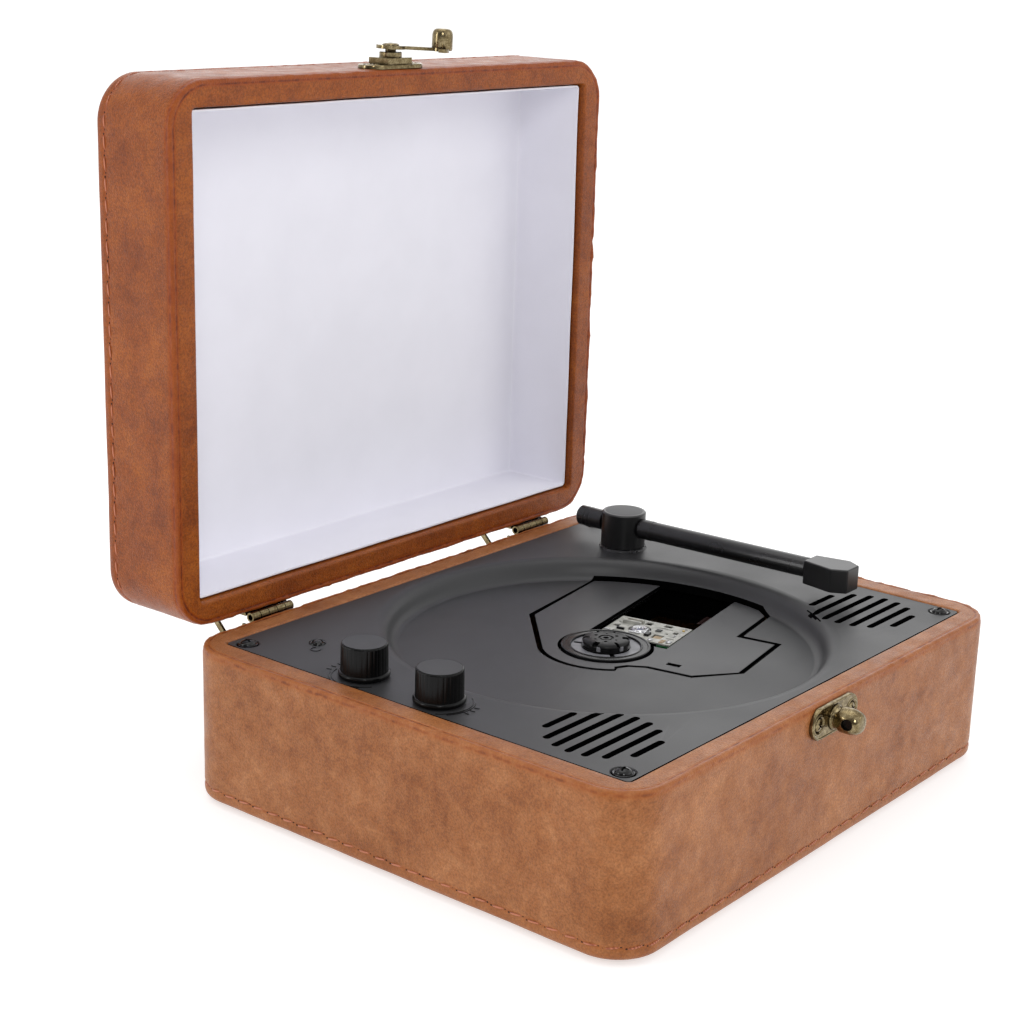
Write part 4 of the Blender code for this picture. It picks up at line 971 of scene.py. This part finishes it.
def pickup_detail():
    """The laser unit's top, in the deck's frame: pierced sheet, lens, magnets, wiring and circuit edge."""
    low, high = cad("pickup_lens")
    lens = DECK_TURN.inverted() @ ((low + high) / 2)
    top = cad("pickup_sled")[1].z
    body = "pickup"
    u = lens.x
    sheet = block((u - 8.6, u + 8.9), (-14.3, 10.1), (top + 0.05, top + 0.5))
    windows = [((u - 5.2, u - 1.6), (-9.4, -6.0)), ((u + 5.0, u + 7.4), (-1.6, 0.7)),
               ((u + 6.2, u + 8.2), (-8.2, -5.4)), ((u - 7.2, u - 4.6), (3.0, 7.2)),
               ((u - 9.0, u - 6.6), (-3.6, 1.2)), ((u + 1.6, u + 3.4), (-12.2, -10.6)),
               ((u - 3.6, u - 2.9), (-13.4, -10.6)), ((u + 4.4, u + 4.9), (-9.4, -4.6)),
               ((u + 7.3, u + 9.2), (3.6, 5.6)), ((u - 1.2, u + 0.6), (6.9, 9.1))]
    tools = [block(x, y, (top - 1, top + 2)) for x, y in windows]
    tools += [bar((u + x, y, top - 1), (u + x, y, top + 2), 0.5, 16)
              for x, y in ((-7.4, 8.6), (7.6, 8.4), (7.6, -12.8), (-7.2, -12.6), (0.4, -9.2), (3.4, 8.6),
                           (-2.4, 4.9))]
    tools.append(bar((u, 0, top - 1), (u, 0, top + 2), 3.7, 48))
    soften(piece("pickup_sheet", carve(sheet, *tools), body, PICKUP_GREY, (), DECK_TURN), 0.1, 2, 40)
    seat = DECK_TURN @ Matrix.Translation((u, 0, 0))
    ring = turned([(0, top + 0.35), (1.25, top + 0.35), (1.5, top + 0.8), (2.3, top + 1.0),
                   (2.8, top + 0.8), (3.05, top + 0.3), (3.5, top + 0.1), (3.5, top - 1.1), (0, top - 1.1)],
                  segments=64)
    shade(piece("lens_holder", ring, body, STEEL, ("pickup_lens",), seat), 35)
    glass = turned([(0, top + 0.75), (0.5, top + 0.7), (0.95, top + 0.5), (1.2, top + 0.3), (0, top + 0.2)],
                   segments=48)
    shade(piece("lens_glass_dome", glass, body, LENS, (), seat), 60)
    bits = [("yoke_back", (2.6, 3.5), (1.0, 7.0), 1.7, PICKUP_GREY),
            ("yoke_front", (4.9, 5.8), (1.0, 7.0), 1.7, PICKUP_GREY),
            ("yoke_side", (2.6, 5.8), (6.4, 7.4), 1.5, PICKUP_GREY),
            ("yoke_magnet", (3.6, 4.8), (1.6, 6.0), 1.2, TAN),
            ("yoke_far", (-3.6, -2.9), (4.0, 6.6), 1.2, BLACK_METAL),
            ("coil_case", (-4.6, -3.4), (-1.9, 1.9), 0.9, STEEL),
            ("connector", (-5.0, -2.4), (-5.2, -3.6), 1.3, GLOSS_BLACK),
            ("flex_tail", (-8.2, -5.4), (-11.6, -10.2), 0.7, TAN),
            ("resin", (-4.8, -2.0), (-9.0, -6.4), 0.2, TAN),
            ("bracket", (5.6, 8.6), (-4.6, -3.6), 0.55, PICKUP_GREY),
            ("stop", (6.4, 8.7), (9.0, 10.1), 0.6, PICKUP_GREY),
            ("chip", (0.8, 2.8), (-6.8, -4.9), 0.75, GLOSS_BLACK),
            ("spring", (-6.2, -5.4), (7.8, 9.8), 0.9, STEEL),
            ("solder_1", (-1.4, -0.8), (-12.6, -12.0), 0.75, STEEL),
            ("solder_2", (-0.2, 0.4), (-12.6, -12.0), 0.75, STEEL),
            ("solder_3", (5.4, 6.2), (-13.0, -12.2), 0.75, GOLD)]
    for name, across, along, tall, mat in bits:
        solid = block((u + across[0], u + across[1]), along, (top - 0.2, top + tall))
        soften(piece("pickup_" + name, solid, body, mat, (), DECK_TURN), 0.1, 2)
    board = block((u - 9.2, u + 9.3), (-15.0, -10.0), (top - 0.9, top - 0.02))
    notch = block((u - 2.0, u + 1.2), (-16.0, -14.7), (top - 2, top + 1))
    soften(piece("pickup_board", carve(board, notch), body, CIRCUIT, (), DECK_TURN), 0.08, 2)
    for number, (dx, dy) in enumerate(((-6.2, -13.0), (5.4, 3.2), (-7.4, -7.0))):
        stud = turned([(0, top + 0.95), (0.6, top + 0.9), (0.85, top + 0.7), (0.9, top + 0.3),
                       (0, top + 0.3)],
                      segments=24)
        place = DECK_TURN @ Matrix.Translation((u + dx, dy, 0))
        shade(piece(f"pickup_stud_{number + 1}", stud, body, STEEL, (), place), 35)


# ---------------------------------------------------------------- tonearm
def tonearm(top):
    low, high = cad("tonearm_turret")
    x, y = (low.x + high.x) / 2, (low.y + high.y) / 2
    cap = high.z
    profile = [(0, cap - 0.05), (6.5, cap - 0.05), (6.9, cap), (7.25, cap - 0.08), (7.6, cap - 0.45),
               (7.6, top + 0.95), (3.0, top + 0.9), (3.0, top - 5), (0, top - 5)]
    pivot = carve(turned(profile, (x, y), 96), block((x - 4, x + 4), (y - 12, y - 7.35), (top + 4, top + 12)))
    shade(piece("arm_turret", pivot, "tonearm", ARM_BLACK, ("tonearm_turret",)), 35)
    face = turned([(0, cap + 0.02), (5.9, cap + 0.02), (6.4, cap - 0.03)], (x, y), 96)
    shade(piece("arm_turret_face", face, "tonearm", KNOB_TOP), 40)
    low, high = cad("tonearm_tube")
    back_z, front_z = top + 7.9, top + 8.8
    front, back = Vector((x, low.y, front_z)), Vector((x, high.y, back_z))
    tube = bar(back, front, 3.3, 64)
    soften(piece("arm_tube", tube, "tonearm", ARM_BLACK, ("tonearm_tube",)), 0.3, 3)
    collar = bar(back, back.lerp(front, 0.075), 3.42, 64)
    soften(piece("arm_collar", collar, "tonearm", ARM_BLACK), 0.2, 2)
    low, high = cad("headshell")
    rear, wide, front_y = high.y, high.y - 11.3, low.y
    half = [(4.0, rear), (6.3, wide), (3.6, front_y)]
    outline = [(x + dx, dy) for dx, dy in half] + [(x - dx, dy) for dx, dy in reversed(half)]
    shell = plate(outline, low.z, high.z)
    soften(piece("head_shell", shell, "tonearm", ARM_BLACK, ("headshell",)), 0.45, 3, 20)
    low, high = cad("counterweight")
    centre_z = (low.z + high.z) / 2
    weight = turned([(0, 0), (2.6, 0), (3.1, 0.2), (3.45, 0.6), (3.45, 3.2), (3.25, 3.35), (3.25, 3.75),
                     (3.45, 3.9), (3.45, 5.0), (3.25, 5.15), (3.25, 5.55), (3.45, 5.7),
                     (3.45, high.y - low.y), (0, high.y - low.y)],
                    segments=64)
    lying = Matrix.Translation((x, high.y, centre_z)) @ Matrix.Rotation(math.pi / 2, 4, "X")
    shade(piece("arm_weight", weight, "tonearm", ARM_BLACK, ("counterweight",), lying), 35)


# ---------------------------------------------------------------- catch, latch and hinges
def stadium(inset, z):
    """A ring with round ends, inset from a fixing plate's edge."""
    right = arc((PLATE_ENDS, 0), PLATE_R - inset, -90, 90, 20)
    left = arc((-PLATE_ENDS, 0), PLATE_R - inset, 90, 270, 20)
    return lifted(right + left, z)


def fixing_plate(name, body, place, node):
    """A cast plate with a raised lip and two countersunk screws in raised rings."""
    face = PLATE_GAP + 0.8
    lip = [(0.0, 0.02), (0.0, face - 0.3), (0.12, face), (0.3, face + 0.14), (0.6, face + 0.16),
           (0.8, face + 0.06), (0.95, face - 0.02), (1.6, face - 0.02)]
    rings = [stadium(inset, z) for inset, z in lip]
    bosses = [turned([(0, face + 0.18), (2.65, face + 0.18), (2.9, face + 0.1), (3.05, face - 0.1),
                      (0, face - 0.1)],
                     (side * SMALL_SCREW_X, 0), 48) for side in (-1, 1)]
    solid = carve(loft(rings), *bosses, operation="UNION")
    seats = [turned([(0, face + 2), (2.6, face + 2), (2.6, face + 0.2), (2.2, face - 0.2), (2.2, 0.55),
                     (0, 0.55)],
                    (side * SMALL_SCREW_X, 0), 48) for side in (-1, 1)]
    made = piece(name, carve(solid, *seats), body, BRASS, (node,), place)
    weigh_normals(made, 30)
    for number, side in enumerate((-1, 1), 1):
        seat = place @ Matrix.Translation((side * SMALL_SCREW_X, 0, 0.6))
        cross_screw(f"{name}_screw_{number}", f"{node[:5]}_screw_{number}", body, BRASS, 1.95, 0.95,
                    side * 0.5, seat)


def catch():
    low, high = cad("catch_plate")
    place = Matrix(((1, 0, 0, (low.x + high.x) / 2), (0, 0, -1, high.y + PLATE_GAP),
                    (0, 1, 0, (low.z + high.z) / 2), (0, 0, 0, 1)))
    fixing_plate("catch_base", "case", place, "catch_plate")
    tip = high.y + PLATE_GAP - cad("catch_post")[0].y
    curve = smooth_curve([(0.0, tip), (1.9, tip - 0.1), (2.6, tip - 0.4), (3.15, tip - 1.1),
                          (3.5, tip - 2.0), (3.75, tip - 3.0), (3.8, tip - 3.9)], 3)
    profile = curve + [(3.8, 3.75), (3.7, 3.5), (3.3, 3.42), (3.2, 3.3), (3.2, 1.8), (3.3, 1.65),
                       (3.7, 1.55), (3.8, 1.35), (3.75, 0.95), (0, 0.95)]
    post = carve(turned(profile, segments=96), bar((-8, 0, 6.6), (8, 0, 6.6), 1.7, 40))
    made = piece("catch_stud", post, "case", BRASS, ("catch_post",), place)
    soften(made, 0.16, 3, 50)
    # A glossy black core in the bore stands for the shade inside it: painted shade.
    dark = bar((-2.6, 0, 6.6), (2.6, 0, 6.6), 1.74, 32)
    soften(piece("catch_stud_bore_shade", dark, "case", GLOSS_BLACK, (), place), 0.1, 2)


def latch():
    low, high = cad("latch_plate")
    base = low.z - PLATE_GAP
    place = Matrix.Translation(((low.x + high.x) / 2, (low.y + high.y) / 2, base))
    fixing_plate("latch_base", "lid", place, "latch_plate")
    foot = block((-5.5, 5.5), (-4.1, 4.1), (0.9, 3.2))
    soften(piece("latch_foot", foot, "lid", BRASS, (), place), 0.18, 3)
    cap_top = cad("latch_block")[1].z - base
    drum = turned([(0, cap_top), (1.5, cap_top), (2.2, cap_top - 0.12), (2.6, cap_top - 0.4),
                   (2.7, cap_top - 0.8), (1.7, cap_top - 0.95), (1.7, HOOK_LOW - 0.2),
                   (3.3, HOOK_LOW - 0.25), (3.5, HOOK_LOW - 0.45), (3.5, 3.5), (3.75, 3.2), (3.75, 2.9),
                   (0, 2.9)], segments=64)
    dimple = bar((0, 0, cap_top - 0.35), (0, 0, cap_top + 1), 0.8, 24, 1.2)
    shade(piece("latch_drum", carve(drum, dimple), "lid", BRASS, ("latch_block",), place), 35)
    hook_place = (place @ Matrix.Rotation(math.radians(HOOK_TURN), 4, "Z")
                  @ Matrix.Translation((0, 0, HOOK_LOW + HOOK_RISE))
                  @ Matrix.Rotation(math.radians(HOOK_LEAN), 4, "X") @ Matrix.Translation((0, 0, -HOOK_LOW)))
    high_z = HOOK_LOW + HOOK_T
    post = (-POST_REACH * math.sin(POST_ASIDE), -POST_REACH * math.cos(POST_ASIDE))
    horn = arc(post, 6.3, -39, -142, 24) + arc(post, 4.05, -142, -39, 24)
    shank = [(-1.9, -1.0), (-1.6, -6.0), (-1.45, -HOOK_REACH), (1.45, -HOOK_REACH), (1.6, -6.0), (1.9, -1.0)]
    pieces = [plate(circle((0, 0), 4.5, 64), HOOK_LOW, high_z), plate(horn, HOOK_LOW + 0.02, high_z - 0.02),
              plate(circle((0, -HOOK_REACH), 1.9, 40), HOOK_LOW + 0.01, high_z - 0.01)]
    arm = carve(plate(shank, HOOK_LOW + 0.03, high_z - 0.03), *pieces, operation="UNION")
    arm = carve(arm, bar((0, 0, HOOK_LOW - 2), (0, 0, high_z + 2), 2.1, 48))
    soften(piece("latch_arm", arm, "latch_hook", BRASS, ("hook_arm",), hook_place), 0.3, 4, 40)
    knob_top = cad("hook_knob")[1].z - base
    barrel = smooth_curve([(0.0, knob_top), (1.5, knob_top - 0.04), (2.4, knob_top - 0.3),
                           (2.95, knob_top - 0.9), (3.2, knob_top - 1.8), (3.25, knob_top - 2.8)], 3)
    barrel += [(3.25, HOOK_LOW + 0.9), (3.15, HOOK_LOW + 0.5), (2.9, HOOK_LOW + 0.3), (0, HOOK_LOW + 0.3)]
    knob = turned(barrel, (0.0, -HOOK_REACH), 64)
    shade(piece("latch_knob", knob, "latch_hook", BRASS, ("hook_knob",), hook_place), 35)


def hinge_detail():
    """Pins that end inside their barrels, dead black as painted shade, and domed nails in the leaves."""
    for side in ("left", "right"):
        low, high = cad(f"hinge_{side}_pin")
        y, z = (low.y + high.y) / 2, (low.z + high.z) / 2
        # Each pin is dead black and ends short inside its barrel: painted shade, so the barrel ends read as
        # dark holes.
        core = bar((low.x + 1.6, y, z), (high.x - 1.6, y, z), 0.98, 32)
        soften(piece(f"hinge_{side}_core", core, "case", SHADOW_BLACK, (f"hinge_{side}_pin",)), 0.15, 2)
        for leaf_name, body in (("case_leaf", "case"), ("lid_leaf", "lid")):
            low, high = cad(f"hinge_{side}_{leaf_name}")
            for number in range(3):
                x = low.x + (high.x - low.x) * (0.24, 0.5, 0.76)[number]
                head = turned([(0, 0.62), (0.5, 0.58), (0.95, 0.4), (1.25, 0.12), (1.3, -0.05), (0, -0.05)],
                              segments=32)
                if leaf_name == "case_leaf":
                    spot = Matrix.Translation((x, CASE_LEAF_FACE, low.z + (4.0 if number % 2 else 8.5)))
                    spot = spot @ Matrix.Rotation(-math.pi / 2, 4, "X")
                else:
                    spot = Matrix.Translation((x, high.y - (4.0 if number % 2 else 8.5), LID_LEAF_LOW))
                    spot = spot @ Matrix.Rotation(math.pi, 4, "X")
                shade(piece(f"hinge_{side}_{leaf_name}_nail_{number + 1}", head, body, BRASS, (), spot), 40)


# ---------------------------------------------------------------- CAD parts that keep their shape
def cad_finishes():
    kept = {
        BOARD: ["case_board", "lid_board"],
        RUBBER: ["rubber_foot_1", "rubber_foot_2", "rubber_foot_3", "rubber_foot_4"],
        GLOSS_BLACK: ["power_socket"],
        CONE: ["speaker_left", "speaker_right"],
        PICKUP_GREY: ["volume_potentiometer", "mode_potentiometer", "drive_gear"],
        STEEL: ["volume_shaft", "mode_shaft", "spindle_motor", "sled_motor", "motor_pinion", "guide_rod_1",
                "guide_rod_2"],
        # The frame and the sled under the pickup's windows are dead black: painted shade seen through the
        # openings.
        SHADOW_BLACK: ["mechanism_frame", "pickup_sled"],
        CIRCUIT: ["main_board"],
        CELL_WRAP: ["battery_pack"],
        BRASS: [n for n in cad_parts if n.startswith(("hinge_", "stay_"))],
    }
    for mat, nodes in kept.items():
        for node in nodes:
            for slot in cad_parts[node].material_slots:
                slot.material = mat


# ---------------------------------------------------------------- stage
VIEW_AZIMUTH = math.radians(-51.39)
VIEW_ELEVATION = math.radians(16.27)
VIEW_ROLL = math.radians(1.70)
VIEW_DISTANCE = 0.6069
VIEW_SHIFT = (-0.02902, 0.03528)   # the aim's offset from the disc's centre, across and up
VIEW_LENS = 69.556


def camera(top):
    back = Vector((math.sin(VIEW_AZIMUTH) * math.cos(VIEW_ELEVATION),
                   -math.cos(VIEW_AZIMUTH) * math.cos(VIEW_ELEVATION), math.sin(VIEW_ELEVATION)))
    level = Vector((0, 0, 1)).cross(back).normalized()
    upright = back.cross(level)
    right = level * math.cos(VIEW_ROLL) + upright * math.sin(VIEW_ROLL)
    up = upright * math.cos(VIEW_ROLL) - level * math.sin(VIEW_ROLL)
    data = bpy.data.cameras.new("photo_view")
    data.lens = VIEW_LENS
    data.sensor_width = 36.0
    data.clip_start = 0.01
    view = added("photo_view", data)
    place = Vector((0, 0, top * MM)) + back * VIEW_DISTANCE + right * VIEW_SHIFT[0] + up * VIEW_SHIFT[1]
    view.matrix_world = Matrix.Translation(place) @ Matrix((right, up, back)).transposed().to_4x4()
    bpy.context.scene.camera = view


def area_light(name, place, target, size, power, colour=(1.0, 1.0, 1.0)):
    data = bpy.data.lights.new(name, "AREA")
    data.shape = "RECTANGLE"
    data.size, data.size_y = size
    data.energy = power
    data.color = colour
    place, target = Vector(place), Vector(target)
    turn = (place - target).to_track_quat("Z", "Y").to_matrix().to_4x4()
    added(name, data).matrix_world = Matrix.Translation(place) @ turn


def studio():
    """A white floor that glows a little, a bright sky that is dimmer on the left, and soft lamps."""
    floor = bmesh.new()
    bmesh.ops.create_grid(floor, x_segments=8, y_segments=8, size=60.0)
    ground = added("studio_floor", mesh_of(floor))
    pale = Shader("studio_paper", (0.6, 0.6, 0.6), 0.9, Emission_Strength=0.56)
    pale.bsdf.inputs["Emission Color"].default_value = (1.0, 1.0, 1.0, 1.0)
    pale.bsdf.inputs["Specular IOR Level"].default_value = 0.0
    ground.data.materials.append(pale.material)
    world = bpy.data.worlds.new("studio_world")
    world.use_nodes = True
    tree = world.node_tree
    sky = tree.nodes["Background"]
    place = tree.nodes.new("ShaderNodeTexCoord").outputs["Generated"]
    levels = []
    for way, (start, end, far, near) in (((-0.90, -0.43, 0.08), (0.5, 0.9, 1.0, 0.2)),
                                         ((0.76, 0.60, 0.25), (0.8, 0.97, 1.0, 1.7))):
        facing = tree.nodes.new("ShaderNodeVectorMath")
        facing.operation = "DOT_PRODUCT"
        facing.inputs[1].default_value = way
        tree.links.new(place, facing.inputs[0])
        level = tree.nodes.new("ShaderNodeMapRange")
        level.interpolation_type = "SMOOTHSTEP"
        for socket, value in (("From Min", start), ("From Max", end), ("To Min", far), ("To Max", near)):
            level.inputs[socket].default_value = value
        tree.links.new(facing.outputs["Value"], level.inputs["Value"])
        levels.append(level)
    strength = tree.nodes.new("ShaderNodeMath")
    strength.operation = "MULTIPLY"
    for socket, level in enumerate(levels):
        tree.links.new(level.outputs["Result"], strength.inputs[socket])
    tree.links.new(strength.outputs[0], sky.inputs["Strength"])
    sky.inputs["Color"].default_value = (1.0, 1.0, 1.0, 1.0)
    bpy.context.scene.world = world
    bpy.context.scene.view_settings.view_transform = "Standard"
    area_light("key", (-0.9, -0.8, 0.75), (0, 0, 0.08), (0.24, 0.5), 3.6)
    area_light("strip", (-1.0, 0.6, 0.4), (0, 0, 0.08), (0.16, 0.6), 2.0)
    area_light("front", (0.6, -1.2, 0.6), (0, 0, 0.05), (0.7, 0.7), 1.0)
    area_light("top", (0.1, 0.3, 1.3), (0, 0, 0.0), (1.0, 1.0), 3.0)


covers()
lid_lining()
PANEL_TOP = player_panel()
knob_scales(PANEL_TOP)
panel_screws(PANEL_TOP)
knobs()
deck(PANEL_TOP)
turntable_ring()
disc_hub()
pickup_detail()
tonearm(PANEL_TOP)
catch()
latch()
hinge_detail()
cad_finishes()
camera(PANEL_TOP)
studio()
